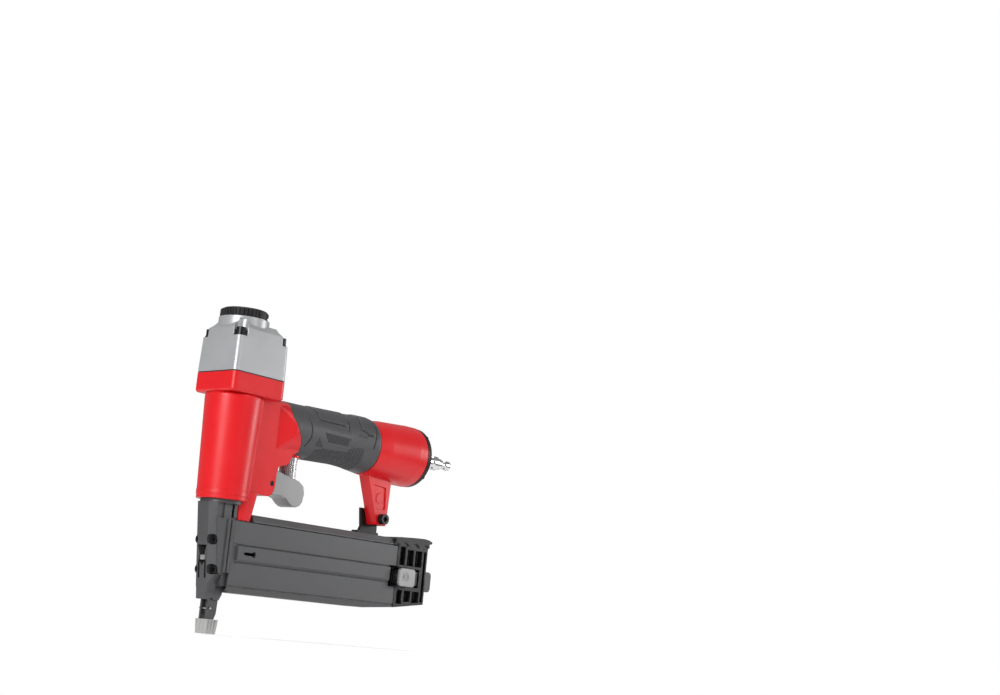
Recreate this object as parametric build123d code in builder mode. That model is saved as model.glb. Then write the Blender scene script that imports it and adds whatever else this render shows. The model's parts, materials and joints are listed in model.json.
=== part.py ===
"""Pneumatic brad nailer, modelled as its separate pieces, in millimetres.

The origin is the centre of the no-mar tip's work face, on the drive axis. +Z runs up the
drive axis, +X runs back along the handle to the air plug, and -Y is the tool's left side.
"""
import os
from math import cos, radians, sin

from build123d import *

os.makedirs("parts", exist_ok=True)

# Drive line, all on the Z axis
BORE_R = 14.0
SLEEVE_R = 15.1
SLEEVE_Z = (99.6, 190.0)
COLLAR_Z = (140.0, 146.0)
LOWER_CAVITY_R = 16.2
UPPER_CAVITY_R = 18.0
FLOOR_TOP_Z = 99.6
PISTON_Z = (182.0, 189.6)
STROKE = 77.5
BLADE_TIP_Z = 84.3
BLADE_X = 0.65
BLADE_Y = 1.3
CHANNEL_X = 0.85
CHANNEL_Y = 1.5

# Housing
HOUSING_BOTTOM_Z = 96.0
HOUSING_BOTTOM_R = 18.9
HOUSING_TOP_R = 21.8
FLANGE_Z = (173.4, 187.6)
GASKET_T = 0.8
HEAD_X = 4.0
HEAD_LENGTH = 50.4
HEAD_WIDTH = 44.6
HEAD_CORNER_R = 4.0
WEB_HALF = 14.0
HANDLE_Z = 156.6
HANDLE_R = 17.4
HANDLE_BORE_R = 14.0
BELL_END_X = 191.3
BELL_R = 25.0
BELL_BORE_R = 20.0
LEG_HALF = 5.3
# Front edge of the grip: distance back and height, from below to above
GRIP_FRONT = (
    (57.6, 120), (57.4, 138), (55, 145), (52, 150.4), (47, 158.4), (43.4, 165), (42.2, 170), (43.6, 175),
    (46, 180), (46, 190),
)
GRIP_REAR_X = 137.4
HORN_R = 20.6

# Head
CAP_BOTTOM_Z = FLANGE_Z[1] + GASKET_T
CAP_WALL_TOP_Z = 221.0
ROOF_RISE = 5.5
CAP_TAPER = 1.6
POCKET_R = 17.5
POCKET_TOP_Z = 212.0
NECK_R = 18.8
NECK_TOP_Z = 230.5
SCREW_INSET = 5.4
NOTCH_R = 5.2
NOTCH_Z = 214.4
DEFLECTOR_R = 18.3
DEFLECTOR_Z = (230.9, 237.5)

# Nose
NOSE_TOP_Z = 93.3
NOSE_FRONT_X = -17.0
NOSE_LEAN = 0.13
NOSE_FACE_HALF = 6.0
NOSE_HALF = 11.0
NOSE_CHAMFER_X = 4.2
NOSE_BOTTOM_Z = 24.2
BLOCK_BACK_X = 6.2
NOSE_BOLT_Y = 8.5
# Height of each pair of nose bolts, and the depth of its counterbore
NOSE_BOLTS = ((66.6, -7.2), (45.5, -4.4))
NOSE_MOUNT_SCREWS = ((4.7, 9.5), (4.7, -9.5), (-8.6, 9.4), (-8.6, -9.4))
ARM_TRAVEL = 6.0
ARM_Y = (2.6, 4.2)
LINK_HALF = 1.4

# Trigger group
TRIGGER_PIVOT = (33.9, 113.0)
TRIGGER_HALF = 8.1
TRIGGER_INNER = 6.9
TRIGGER_PIN_R = 2.0
LEVER_PIVOT = (66.0, 109.7)
VALVE_X = 60.5
VALVE_R = 6.6
VALVE_Z = (116.5, 142.0)
BOSS_Z = 136.4

# Magazine
RAIL_X = (21.8, 172.5)
RAIL_TOP_Z = 88.0
RAIL_LEDGE_Z = 82.6
COVER_X = (3.5, 178.0)
COVER_TOP_Z = 81.8
COVER_BOTTOM_Z = 30.2
COVER_HALF = 13.4
BAND_HALF = 14.6
TAIL_X = 213.0
BRACKET_SCREWS = ((150.6, 6.8), (164.6, 6.8))
LATCH_X = 183.3
LATCH_Z = 57.5

DRIVE_AXIS = Axis.Z
HANDLE_AXIS = Axis((0, 0, HANDLE_Z), (1, 0, 0))


def outline(*points):
    """Fill the closed outline through the points, in the current sketch."""
    with BuildLine() as path:
        Polyline(*points, close=True)
    make_face(path.edges())


def ring_profile(inner, outer, low, high):
    """Fill the half section of a ring about the Z axis, in the current XZ sketch."""
    outline((inner, low), (outer, low), (outer, high), (inner, high))


def head_corners():
    """Plan positions of the four head screws."""
    dx = HEAD_LENGTH / 2 - SCREW_INSET
    dy = HEAD_WIDTH / 2 - SCREW_INSET
    return [(HEAD_X + sx * dx, sy * dy) for sx in (-1, 1) for sy in (-1, 1)]


def save(piece, name):
    """Label a finished sub-part and write its STEP file."""
    piece.part.label = name
    export_step(piece.part, f"parts/{name}.step")


def make_main_housing():
    """Cast body: drive cylinder, head flange, web, handle tube, rear bell, leg and front lug."""
    bottom_round = 2.5
    with BuildPart() as main_housing:
        with BuildSketch(Plane.XZ) as barrel:
            outline(
                (0, HOUSING_BOTTOM_Z),
                (HOUSING_BOTTOM_R, HOUSING_BOTTOM_Z),
                (HOUSING_TOP_R, FLANGE_Z[0]),
                (0, FLANGE_Z[0]),
            )
            fillet(barrel.vertices().sort_by(Axis.X).group_by(Axis.Z)[0][-1], bottom_round)
        revolve(axis=DRIVE_AXIS)
        # Faint step round the foot of the cylinder
        with BuildSketch(Plane.XZ):
            ring_profile(15, HOUSING_BOTTOM_R + 0.45, HOUSING_BOTTOM_Z + 3.2, HOUSING_BOTTOM_Z + 6.4)
        revolve(axis=DRIVE_AXIS)
        # Head flange, its lower edge bevelled
        with BuildSketch(Plane.XY.offset(FLANGE_Z[0])):
            with Locations((HEAD_X, 0)):
                RectangleRounded(HEAD_LENGTH - 2.4, HEAD_WIDTH - 2.4, HEAD_CORNER_R - 1.2)
        with BuildSketch(Plane.XY.offset(FLANGE_Z[0] + 1.4)):
            with Locations((HEAD_X, 0)):
                RectangleRounded(HEAD_LENGTH, HEAD_WIDTH, HEAD_CORNER_R)
        loft()
        with BuildSketch(Plane.XY.offset(FLANGE_Z[0] + 1.4)):
            with Locations((HEAD_X, 0)):
                RectangleRounded(HEAD_LENGTH, HEAD_WIDTH, HEAD_CORNER_R)
        extrude(amount=FLANGE_Z[1] - FLANGE_Z[0] - 1.4)
        # Web between the cylinder, the trigger and the handle
        with BuildSketch(Plane.XZ):
            outline(
                (10, 103.2), (32.5, 103.2), (36.4, 107), (37.2, 113), (37.4, 121), (38.8, 126.4),
                (46, 128.4), (48.5, 130), (51.5, 137), (60, 142), (60, 170), (48, 173.6), (10, 173.6),
            )
        extrude(amount=WEB_HALF, both=True)
        # Horn that flares from the flat web to the grip's curved front edge
        with BuildSketch(Plane.YZ.offset(33.5)):
            with Locations((0, 155.0)):
                RectangleRounded(2 * WEB_HALF, 37.0, 3.0)
        with BuildSketch(Plane.YZ.offset(46.5)):
            with Locations((0, HANDLE_Z + 0.2)):
                RectangleRounded(2 * HORN_R, 2 * HORN_R, HORN_R - 1)
        loft()
        with BuildSketch(Plane.YZ.offset(46.5)):
            with Locations((0, HANDLE_Z + 0.2)):
                RectangleRounded(2 * HORN_R, 2 * HORN_R, HORN_R - 1)
        extrude(amount=14)
        with BuildSketch(Plane.XZ):
            outline(*GRIP_FRONT[1:], (80, 190), (80, 138))
            outline((52.0, 137), (52.0, 138.1), (80, 138.1), (80, 120), (60, 120), (60, 137))
        extrude(amount=30, both=True, mode=Mode.SUBTRACT)
        # Handle tube and rear bell
        with BuildSketch(Plane.XZ):
            outline(
                (28, HANDLE_Z), (28, HANDLE_Z + 12), (42, HANDLE_Z + HANDLE_R), (GRIP_REAR_X, HANDLE_Z + HANDLE_R),
                (GRIP_REAR_X, HANDLE_Z + 21.9), (150, HANDLE_Z + 23.4), (180, HANDLE_Z + BELL_R - 0.1),
                (180.4, HANDLE_Z + BELL_R), (BELL_END_X - 1.2, HANDLE_Z + BELL_R),
                (BELL_END_X, HANDLE_Z + BELL_R - 1.2), (BELL_END_X, HANDLE_Z),
            )
        revolve(axis=HANDLE_AXIS)
        # Boss for the trigger valve
        with BuildSketch(Plane.XY.offset(BOSS_Z)):
            with Locations((VALVE_X, 0)):
                Circle(8.3)
        extrude(amount=145 - BOSS_Z)
        # Rear leg down to the magazine bracket
        with BuildSketch(Plane.XZ):
            outline((142, 142), (142.6, 136), (151.6, 113), (157.6, 96.6), (168.4, 96.6),
                    (169.2, 110), (170.4, 142))
        extrude(amount=LEG_HALF, both=True)
        # Front lug over the magazine
        with BuildSketch(Plane.XY.offset(RAIL_LEDGE_Z)):
            with Locations((13.6, 0)):
                RectangleRounded(13.6, 25.0, 4.4)
        with BuildSketch(Plane.XY.offset(104.0)):
            with Locations((14.8, 0)):
                RectangleRounded(18.4, 30.0, 7.0)
        loft()

        # Cavity for the sleeve, open at the top, with a hole for the nose spigot
        with BuildSketch(Plane.XZ):
            outline(
                (0, HOUSING_BOTTOM_Z - 1), (8.05, HOUSING_BOTTOM_Z - 1), (8.05, FLOOR_TOP_Z),
                (LOWER_CAVITY_R, FLOOR_TOP_Z), (LOWER_CAVITY_R, COLLAR_Z[0]),
                (UPPER_CAVITY_R, COLLAR_Z[0]), (UPPER_CAVITY_R, FLANGE_Z[1] + 1), (0, FLANGE_Z[1] + 1),
            )
        revolve(axis=DRIVE_AXIS, mode=Mode.SUBTRACT)
        # Air passage from the rear bell through the handle into the cylinder
        with BuildSketch(Plane.XZ):
            outline(
                (5, HANDLE_Z), (5, HANDLE_Z + 9), (44, HANDLE_Z + 9), (50, HANDLE_Z + HANDLE_BORE_R),
                (148, HANDLE_Z + HANDLE_BORE_R), (156, HANDLE_Z + BELL_BORE_R),
                (BELL_END_X + 1, HANDLE_Z + BELL_BORE_R), (BELL_END_X + 1, HANDLE_Z),
            )
        revolve(axis=HANDLE_AXIS, mode=Mode.SUBTRACT)
        # Trigger slot, contact link slot and trigger pin hole
        with BuildSketch(Plane.XZ):
            outline((27.4, 98), (27.4, 127.2), (52, 127.2), (52, 98))
        extrude(amount=TRIGGER_HALF + 0.3, both=True, mode=Mode.SUBTRACT)
        with BuildSketch(Plane.XZ):
            outline((4, 82), (21, 82), (21, 101), (31.4, 101), (31.4, 112), (17.3, 112), (17.3, 95.2),
                    (4, 95.2))
        extrude(amount=LINK_HALF + 0.4, both=True, mode=Mode.SUBTRACT)
        with BuildSketch(Plane.XZ):
            with Locations(TRIGGER_PIVOT):
                Circle(TRIGGER_PIN_R)
        extrude(amount=WEB_HALF + 1, both=True, mode=Mode.SUBTRACT)
        # Pocket of the contact spring, up inside the lug's back
        with BuildSketch(Plane.XY.offset(87.3)):
            with Locations((11.4, 0)):
                Circle(2.9)
        extrude(amount=8.0, mode=Mode.SUBTRACT)
        # Trigger valve seat and its port into the handle
        with BuildSketch(Plane.XY.offset(130)):
            with Locations((VALVE_X, 0)):
                Circle(5.7)
        extrude(amount=VALVE_Z[1] - 130, mode=Mode.SUBTRACT)
        with BuildSketch(Plane.XY.offset(VALVE_Z[1])):
            with Locations((VALVE_X, 0)):
                Circle(3.5)
        extrude(amount=6, mode=Mode.SUBTRACT)
        # Counterbored holes for the screws that hold the nose from inside
        with BuildSketch(Plane.XY.offset(HOUSING_BOTTOM_Z)):
            with Locations(*NOSE_MOUNT_SCREWS):
                Circle(1.25)
        extrude(amount=FLOOR_TOP_Z - HOUSING_BOTTOM_Z, mode=Mode.SUBTRACT)
        with BuildSketch(Plane.XY.offset(FLOOR_TOP_Z - 2.0)):
            with Locations(*NOSE_MOUNT_SCREWS):
                Circle(2.4)
        extrude(amount=2.0, mode=Mode.SUBTRACT)
        # Tapped holes of the head screws
        with BuildSketch(Plane.XY.offset(FLANGE_Z[1] - 11)):
            with Locations(*head_corners()):
                Circle(2.1)
        extrude(amount=12, mode=Mode.SUBTRACT)
        # Tapped holes of the rear cap screws
        with BuildSketch(Plane.YZ.offset(BELL_END_X - 9)):
            with Locations((0, HANDLE_Z)):
                with PolarLocations(22.3, 4, start_angle=45):
                    Circle(1.2)
        extrude(amount=10, mode=Mode.SUBTRACT)
        # Bolt hole, and the shallow panel on each side of the leg
        with BuildSketch(Plane.XZ):
            with Locations((162.6, 101.6)):
                Circle(2.6)
        extrude(amount=LEG_HALF + 1, both=True, mode=Mode.SUBTRACT)
        for side in (-1, 1):
            with BuildSketch(Plane.XZ.offset(side * LEG_HALF)):
                outline((150.6, 128.4), (165.0, 127.0), (166.2, 109.6), (155.4, 109.0))
            extrude(amount=-side * 1.0, mode=Mode.SUBTRACT)
        # Round boss in each panel
        for side in (-1, 1):
            with BuildSketch(Plane.XZ.offset(side * (LEG_HALF - 1.0))):
                with Locations((159.2, 118.2)):
                    Circle(4.0)
            extrude(amount=side * 0.4)
    save(main_housing, "main_housing")


def make_head_cap():
    """Painted head casting with a round neck, corner notches and the head valve's pocket."""
    inset = CAP_WALL_TOP_Z - CAP_BOTTOM_Z
    shrink = 2 * inset * sin(radians(CAP_TAPER))
    top_length = HEAD_LENGTH - shrink
    top_width = HEAD_WIDTH - shrink
    with BuildPart() as head_cap:
        with BuildSketch(Plane.XY.offset(CAP_BOTTOM_Z)):
            with Locations((HEAD_X, 0)):
                RectangleRounded(HEAD_LENGTH, HEAD_WIDTH, HEAD_CORNER_R)
        with BuildSketch(Plane.XY.offset(CAP_WALL_TOP_Z)):
            with Locations((HEAD_X, 0)):
                RectangleRounded(top_length, top_width, HEAD_CORNER_R - 0.5)
        loft()
        with BuildSketch(Plane.XY.offset(CAP_WALL_TOP_Z)):
            with Locations((HEAD_X, 0)):
                RectangleRounded(top_length, top_width, HEAD_CORNER_R - 0.5)
        with BuildSketch(Plane.XY.offset(CAP_WALL_TOP_Z + ROOF_RISE)):
            with Locations((HEAD_X, 0)):
                RectangleRounded(top_length - 2 * ROOF_RISE, top_width - 2 * ROOF_RISE, 2)
        loft()
        # Bulge down the rear face
        with BuildSketch(Plane.XY.offset(CAP_BOTTOM_Z + 5)):
            with Locations((HEAD_X + 14.6, 0)):
                Circle(12.8)
        extrude(amount=19)
        # Neck
        with BuildSketch(Plane.XY.offset(POCKET_TOP_Z)):
            Circle(NECK_R)
        extrude(amount=NECK_TOP_Z - POCKET_TOP_Z)
        # Head valve pocket, and the exhaust passage around the deflector screw's boss
        with BuildSketch(Plane.XY.offset(CAP_BOTTOM_Z)):
            Circle(POCKET_R)
        extrude(amount=POCKET_TOP_Z - CAP_BOTTOM_Z, mode=Mode.SUBTRACT)
        with BuildSketch(Plane.XY.offset(POCKET_TOP_Z)) as passage:
            Circle(10.5)
            Circle(4.2, mode=Mode.SUBTRACT)
            with PolarLocations(7, 3, start_angle=90):
                Rectangle(9, 2.6, mode=Mode.SUBTRACT)
        extrude(amount=NECK_TOP_Z - POCKET_TOP_Z, mode=Mode.SUBTRACT)
        with BuildSketch(Plane.XY.offset(NECK_TOP_Z - 14)):
            Circle(2.5)
        extrude(amount=14, mode=Mode.SUBTRACT)
        # Groove for the deflector's friction ring
        with BuildSketch(Plane.XY.offset(NECK_TOP_Z - 1.2)):
            Circle(15.6)
            Circle(13.2, mode=Mode.SUBTRACT)
        extrude(amount=1.2, mode=Mode.SUBTRACT)
        # Screw holes and the open notch above each
        with BuildSketch(Plane.XY.offset(NOTCH_Z)):
            with Locations(*head_corners()):
                Circle(NOTCH_R)
        extrude(amount=14, mode=Mode.SUBTRACT)
        with BuildSketch(Plane.XY.offset(CAP_BOTTOM_Z)):
            with Locations(*head_corners()):
                Circle(2.3)
        extrude(amount=NOTCH_Z - CAP_BOTTOM_Z, mode=Mode.SUBTRACT)
    save(head_cap, "head_cap")


def make_cap_gasket():
    """Thin gasket between the flange and the head cap."""
    with BuildPart() as cap_gasket:
        with BuildSketch(Plane.XY.offset(FLANGE_Z[1])):
            with Locations((HEAD_X, 0)):
                RectangleRounded(HEAD_LENGTH - 0.5, HEAD_WIDTH - 0.5, HEAD_CORNER_R)
            Circle(UPPER_CAVITY_R, mode=Mode.SUBTRACT)
            with Locations(*head_corners()):
                Circle(2.3, mode=Mode.SUBTRACT)
        extrude(amount=GASKET_T)
    save(cap_gasket, "cap_gasket")


def make_cap_screws():
    """Four socket cap screws, each with its spring washer, that hold the head cap down."""
    washer_t = 1.2
    head_h = 5.0
    tip_z = FLANGE_Z[1] - 10
    with BuildPart() as cap_screws:
        for x, y in head_corners():
            with BuildSketch(Plane.XY.offset(tip_z)):
                with Locations((x, y)):
                    Circle(2.1)
            extrude(amount=NOTCH_Z + washer_t - tip_z)
            with BuildSketch(Plane.XY.offset(NOTCH_Z + washer_t)):
                with Locations((x, y)):
                    Circle(3.6)
            extrude(amount=head_h)
            with BuildSketch(Plane.XY.offset(NOTCH_Z + washer_t + head_h - 2.6)):
                with Locations((x, y)):
                    RegularPolygon(1.75, 6)
            extrude(amount=2.6, mode=Mode.SUBTRACT)
            with BuildSketch(Plane.XY.offset(NOTCH_Z)):
                with Locations((x, y)):
                    Circle(4.1)
            extrude(amount=washer_t)
    save(cap_screws, "cap_screws")


def make_exhaust_deflector():
    """Turning exhaust deflector: ribbed rim, hollow underside and one outlet window."""
    rib_count = 40
    outlet_angle = -30.0
    outlet_half = 58.0
    low, high = DEFLECTOR_Z
    with BuildPart() as exhaust_deflector:
        with BuildSketch(Plane.XZ):
            outline((0, low), (DEFLECTOR_R - 0.7, low), (DEFLECTOR_R - 0.7, high - 1.2),
                    (DEFLECTOR_R - 1.9, high), (0, high))
        revolve(axis=DRIVE_AXIS)
        with BuildSketch(Plane.XY.offset(low)):
            for rib in range(rib_count):
                angle = 360.0 * rib / rib_count
                turn = (angle - outlet_angle + 180) % 360 - 180
                if abs(turn) > outlet_half:
                    with PolarLocations(DEFLECTOR_R - 0.8, 1, start_angle=angle):
                        Circle(0.8)
        extrude(amount=high - low - 1.0)
        with BuildSketch(Plane.XY.offset(low)):
            Circle(14.6)
            Circle(5.0, mode=Mode.SUBTRACT)
        extrude(amount=3.6, mode=Mode.SUBTRACT)
        # Outlet window through the smooth side of the rim
        with BuildSketch(Plane.XY.offset(low + 0.8)):
            with Locations(Location((0, 0), outlet_angle)):
                with Locations((16, 0)):
                    Rectangle(8, 17)
        extrude(amount=2.8, mode=Mode.SUBTRACT)
        # Seat of the centre screw
        with BuildSketch(Plane.XY.offset(high - 2.6)):
            Circle(5.2)
        extrude(amount=2.6, mode=Mode.SUBTRACT)
        with BuildSketch(Plane.XY.offset(low)):
            Circle(2.65)
        extrude(amount=high - low, mode=Mode.SUBTRACT)
    save(exhaust_deflector, "exhaust_deflector")


def make_deflector_screw():
    """Low-head centre screw that the deflector turns on."""
    head_low = DEFLECTOR_Z[1] - 2.5
    with BuildPart() as deflector_screw:
        with BuildSketch(Plane.XY.offset(NECK_TOP_Z - 12)):
            Circle(2.5)
        extrude(amount=head_low - NECK_TOP_Z + 12)
        with BuildSketch(Plane.XY.offset(head_low)):
            Circle(4.8)
        extrude(amount=2.2)
        with BuildSketch(Plane.XY.offset(head_low + 0.6)):
            RegularPolygon(1.75, 6)
        extrude(amount=1.6, mode=Mode.SUBTRACT)
    save(deflector_screw, "deflector_screw")


def make_deflector_seal():
    """Friction ring under the deflector."""
    with BuildPart() as deflector_seal:
        with BuildSketch(Plane.XZ):
            ring_profile(13.4, 15.4, NECK_TOP_Z - 1.2, DEFLECTOR_Z[0] - 0.15)
        revolve(axis=DRIVE_AXIS)
    save(deflector_seal, "deflector_seal")


def make_cylinder_sleeve():
    """Drive cylinder liner with its collar, seal groove and air ports."""
    with BuildPart() as cylinder_sleeve:
        with BuildSketch(Plane.XZ):
            ring_profile(BORE_R, SLEEVE_R, *SLEEVE_Z)
        revolve(axis=DRIVE_AXIS)
        with BuildSketch(Plane.XZ):
            ring_profile(BORE_R, UPPER_CAVITY_R - 0.05, *COLLAR_Z)
        revolve(axis=DRIVE_AXIS)
        with BuildSketch(Plane.XZ):
            ring_profile(UPPER_CAVITY_R - 1.65, UPPER_CAVITY_R + 1, 142.2, 143.8)
        revolve(axis=DRIVE_AXIS, mode=Mode.SUBTRACT)
        for port_z, ports in ((129.0, 6), (108.0, 4)):
            for port in range(ports):
                angle = 360.0 * port / ports
                with BuildSketch(Plane(origin=(0, 0, port_z),
                                       z_dir=(cos(radians(angle)), sin(radians(angle)), 0))):
                    Circle(1.1)
                extrude(amount=SLEEVE_R + 1, mode=Mode.SUBTRACT)
    save(cylinder_sleeve, "cylinder_sleeve")


def make_cylinder_seals():
    """Collar O-ring and the one-way band over the upper ports."""
    with BuildPart() as cylinder_seals:
        with BuildSketch(Plane.XZ):
            with Locations((UPPER_CAVITY_R - 0.85, 143.0)):
                Circle(0.78)
        revolve(axis=DRIVE_AXIS)
        with BuildSketch(Plane.XZ):
            ring_profile(SLEEVE_R, LOWER_CAVITY_R - 0.25, 127.0, 131.0)
        revolve(axis=DRIVE_AXIS)
    save(cylinder_seals, "cylinder_seals")


def make_head_valve():
    """Head valve piston, its seals and its return spring, above the sleeve."""
    low = SLEEVE_Z[1] + 0.6
    disc_top = 199.0
    tube_top = 207.5
    with BuildPart() as head_valve_piston:
        with BuildSketch(Plane.XZ):
            outline((5.9, low), (POCKET_R - 0.1, low), (POCKET_R - 0.1, disc_top), (7.4, disc_top),
                    (7.4, tube_top), (5.9, tube_top))
        revolve(axis=DRIVE_AXIS)
        with BuildSketch(Plane.XZ):
            ring_profile(POCKET_R - 1.6, POCKET_R + 1, 194.0, 195.6)
        revolve(axis=DRIVE_AXIS, mode=Mode.SUBTRACT)
    save(head_valve_piston, "head_valve_piston")
    with BuildPart() as head_valve_seals:
        with BuildSketch(Plane.XZ):
            with Locations((POCKET_R - 0.82, 194.8)):
                Circle(0.76)
        revolve(axis=DRIVE_AXIS)
        with BuildSketch(Plane.XZ):
            ring_profile(13.2, 16.0, SLEEVE_Z[1] + 0.02, low)
        revolve(axis=DRIVE_AXIS)
    save(head_valve_seals, "head_valve_seals")
    make_coil("head_valve_spring", Plane.XY.offset(disc_top), 10.2, 0.8, POCKET_TOP_Z - disc_top, 4)


def make_coil(name, base, radius, wire_r, length, turns):
    """Compression spring of round wire, standing on the base plane, between its two end faces."""
    height = length - 2 * wire_r
    with BuildPart() as coil:
        with BuildLine() as axis_line:
            Helix(pitch=height / turns, height=height, radius=radius)
        with BuildSketch(Plane(origin=axis_line.line @ 0, z_dir=axis_line.line % 0)):
            Circle(wire_r)
        sweep(is_frenet=True)
    placed = base.location * Pos(0, 0, wire_r) * coil.part
    placed.label = name
    export_step(placed, f"parts/{name}.step")


def make_drive_line():
    """Drive piston, piston ring, driver blade and bumper."""
    with BuildPart() as drive_piston:
        with BuildSketch(Plane.XZ):
            outline((0, PISTON_Z[0]), (9, PISTON_Z[0]), (10, PISTON_Z[0] + 1.2), (BORE_R - 0.07, PISTON_Z[0] + 1.2),
                    (BORE_R - 0.07, PISTON_Z[1]), (11, PISTON_Z[1]), (9.5, PISTON_Z[1] - 2), (0, PISTON_Z[1] - 2))
        revolve(axis=DRIVE_AXIS)
        with BuildSketch(Plane.XZ):
            ring_profile(BORE_R - 1.6, BORE_R + 1, 185.4, 187.4)
        revolve(axis=DRIVE_AXIS, mode=Mode.SUBTRACT)
        with BuildSketch(Plane.XY.offset(PISTON_Z[0])):
            Rectangle(2 * BLADE_X, 2 * BLADE_Y)
        extrude(amount=3.6, mode=Mode.SUBTRACT)
    save(drive_piston, "drive_piston")
    with BuildPart() as piston_ring:
        with BuildSketch(Plane.XZ):
            ring_profile(BORE_R - 1.6, BORE_R - 0.03, 185.45, 187.35)
        revolve(axis=DRIVE_AXIS)
    save(piston_ring, "piston_ring")
    with BuildPart() as driver_blade:
        with BuildSketch(Plane.XY.offset(BLADE_TIP_Z)):
            Rectangle(2 * BLADE_X, 2 * BLADE_Y)
        extrude(amount=PISTON_Z[0] + 3.6 - BLADE_TIP_Z)
    save(driver_blade, "driver_blade")
    bumper_top = PISTON_Z[0] - STROKE - 0.2
    with BuildPart() as bumper:
        with BuildSketch(Plane.XZ):
            outline((3.2, FLOOR_TOP_Z), (BORE_R - 0.3, FLOOR_TOP_Z), (BORE_R - 0.3, bumper_top - 1.4),
                    (BORE_R - 2, bumper_top), (4.4, bumper_top), (3.2, bumper_top - 1.0))
        revolve(axis=DRIVE_AXIS)
    save(bumper, "bumper")


def make_nose_cover():
    """Leaning, chamfered front half of the nose, with bolt counterbores and the front slot."""
    top_x = NOSE_FRONT_X
    with BuildPart() as nose_cover:
        with BuildSketch(Plane.XY.offset(NOSE_TOP_Z)):
            outline((top_x, -NOSE_FACE_HALF), (top_x + NOSE_CHAMFER_X, -NOSE_HALF), (20, -NOSE_HALF),
                    (20, NOSE_HALF), (top_x + NOSE_CHAMFER_X, NOSE_HALF), (top_x, NOSE_FACE_HALF))
        extrude(amount=(NOSE_TOP_Z - NOSE_BOTTOM_Z) * (1 + NOSE_LEAN**2) ** 0.5, dir=(NOSE_LEAN, 0, -1))
        # Front view: full width, then a hollow sweep into the narrow lower nose
        with BuildSketch(Plane.YZ.offset(-30)):
            with BuildLine():
                Polyline((5.4, 20), (5.6, 28))
                ThreePointArc((5.6, 28), (7.2, 37.2), (NOSE_HALF + 0.2, 43))
                Polyline((NOSE_HALF + 0.2, 43), (NOSE_HALF + 0.2, 94), (-NOSE_HALF - 0.2, 94),
                         (-NOSE_HALF - 0.2, 43))
                ThreePointArc((-NOSE_HALF - 0.2, 43), (-7.2, 37.2), (-5.6, 28))
                Polyline((-5.6, 28), (-5.4, 20), (5.4, 20))
            make_face()
        extrude(amount=30 - CHANNEL_X, mode=Mode.INTERSECT)
        # Tapped holes of the front pair of mounting screws
        with BuildSketch(Plane.XY.offset(88)):
            with Locations(*NOSE_MOUNT_SCREWS[2:]):
                Circle(1.25)
        extrude(amount=8, mode=Mode.SUBTRACT)
        # Counterbores and bolt holes, along X
        for z, floor_x in NOSE_BOLTS:
            for y in (-NOSE_BOLT_Y, NOSE_BOLT_Y):
                with BuildSketch(Plane.YZ.offset(-25)):
                    with Locations((y, z)):
                        Circle(3.75)
                extrude(amount=25 + floor_x, mode=Mode.SUBTRACT)
                with BuildSketch(Plane.YZ.offset(-8)):
                    with Locations((y, z)):
                        Circle(2.1)
                extrude(amount=8, mode=Mode.SUBTRACT)
        # Front slot: a wide mouth above, narrowing to the block's seat and the tongue below it
        with BuildSketch(Plane.YZ.offset(-25)):
            outline((-4.8, 62.4), (4.8, 62.4), (2.7, 55.6), (4.4, 50), (4.4, 39), (-4.4, 39), (-4.4, 50),
                    (-2.7, 55.6))
            with BuildLine():
                Polyline((-2.4, 38), (2.4, 38), (2.4, 50.4), (0, 47.6), (-2.4, 50.4), close=True)
            make_face(mode=Mode.SUBTRACT)
        extrude(amount=25 - 5.6, mode=Mode.SUBTRACT)
        # Pockets for the contact arm's bars
        for side in (-1, 1):
            with BuildSketch(Plane.XY.offset(NOSE_BOTTOM_Z - 1)):
                with Locations((-2.9, side * (ARM_Y[0] + ARM_Y[1]) / 2)):
                    Rectangle(4.3, ARM_Y[1] - ARM_Y[0] + 0.5)
            extrude(amount=11.4, mode=Mode.SUBTRACT)
        # Room for the arm's cross pin at full travel
        with BuildSketch(Plane.XZ):
            outline((-4.3, 20), (-1.7, 20), (-1.7, 25.4), (-4.3, 25.4))
        extrude(amount=8, both=True, mode=Mode.SUBTRACT)
    save(nose_cover, "nose_cover")


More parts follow.
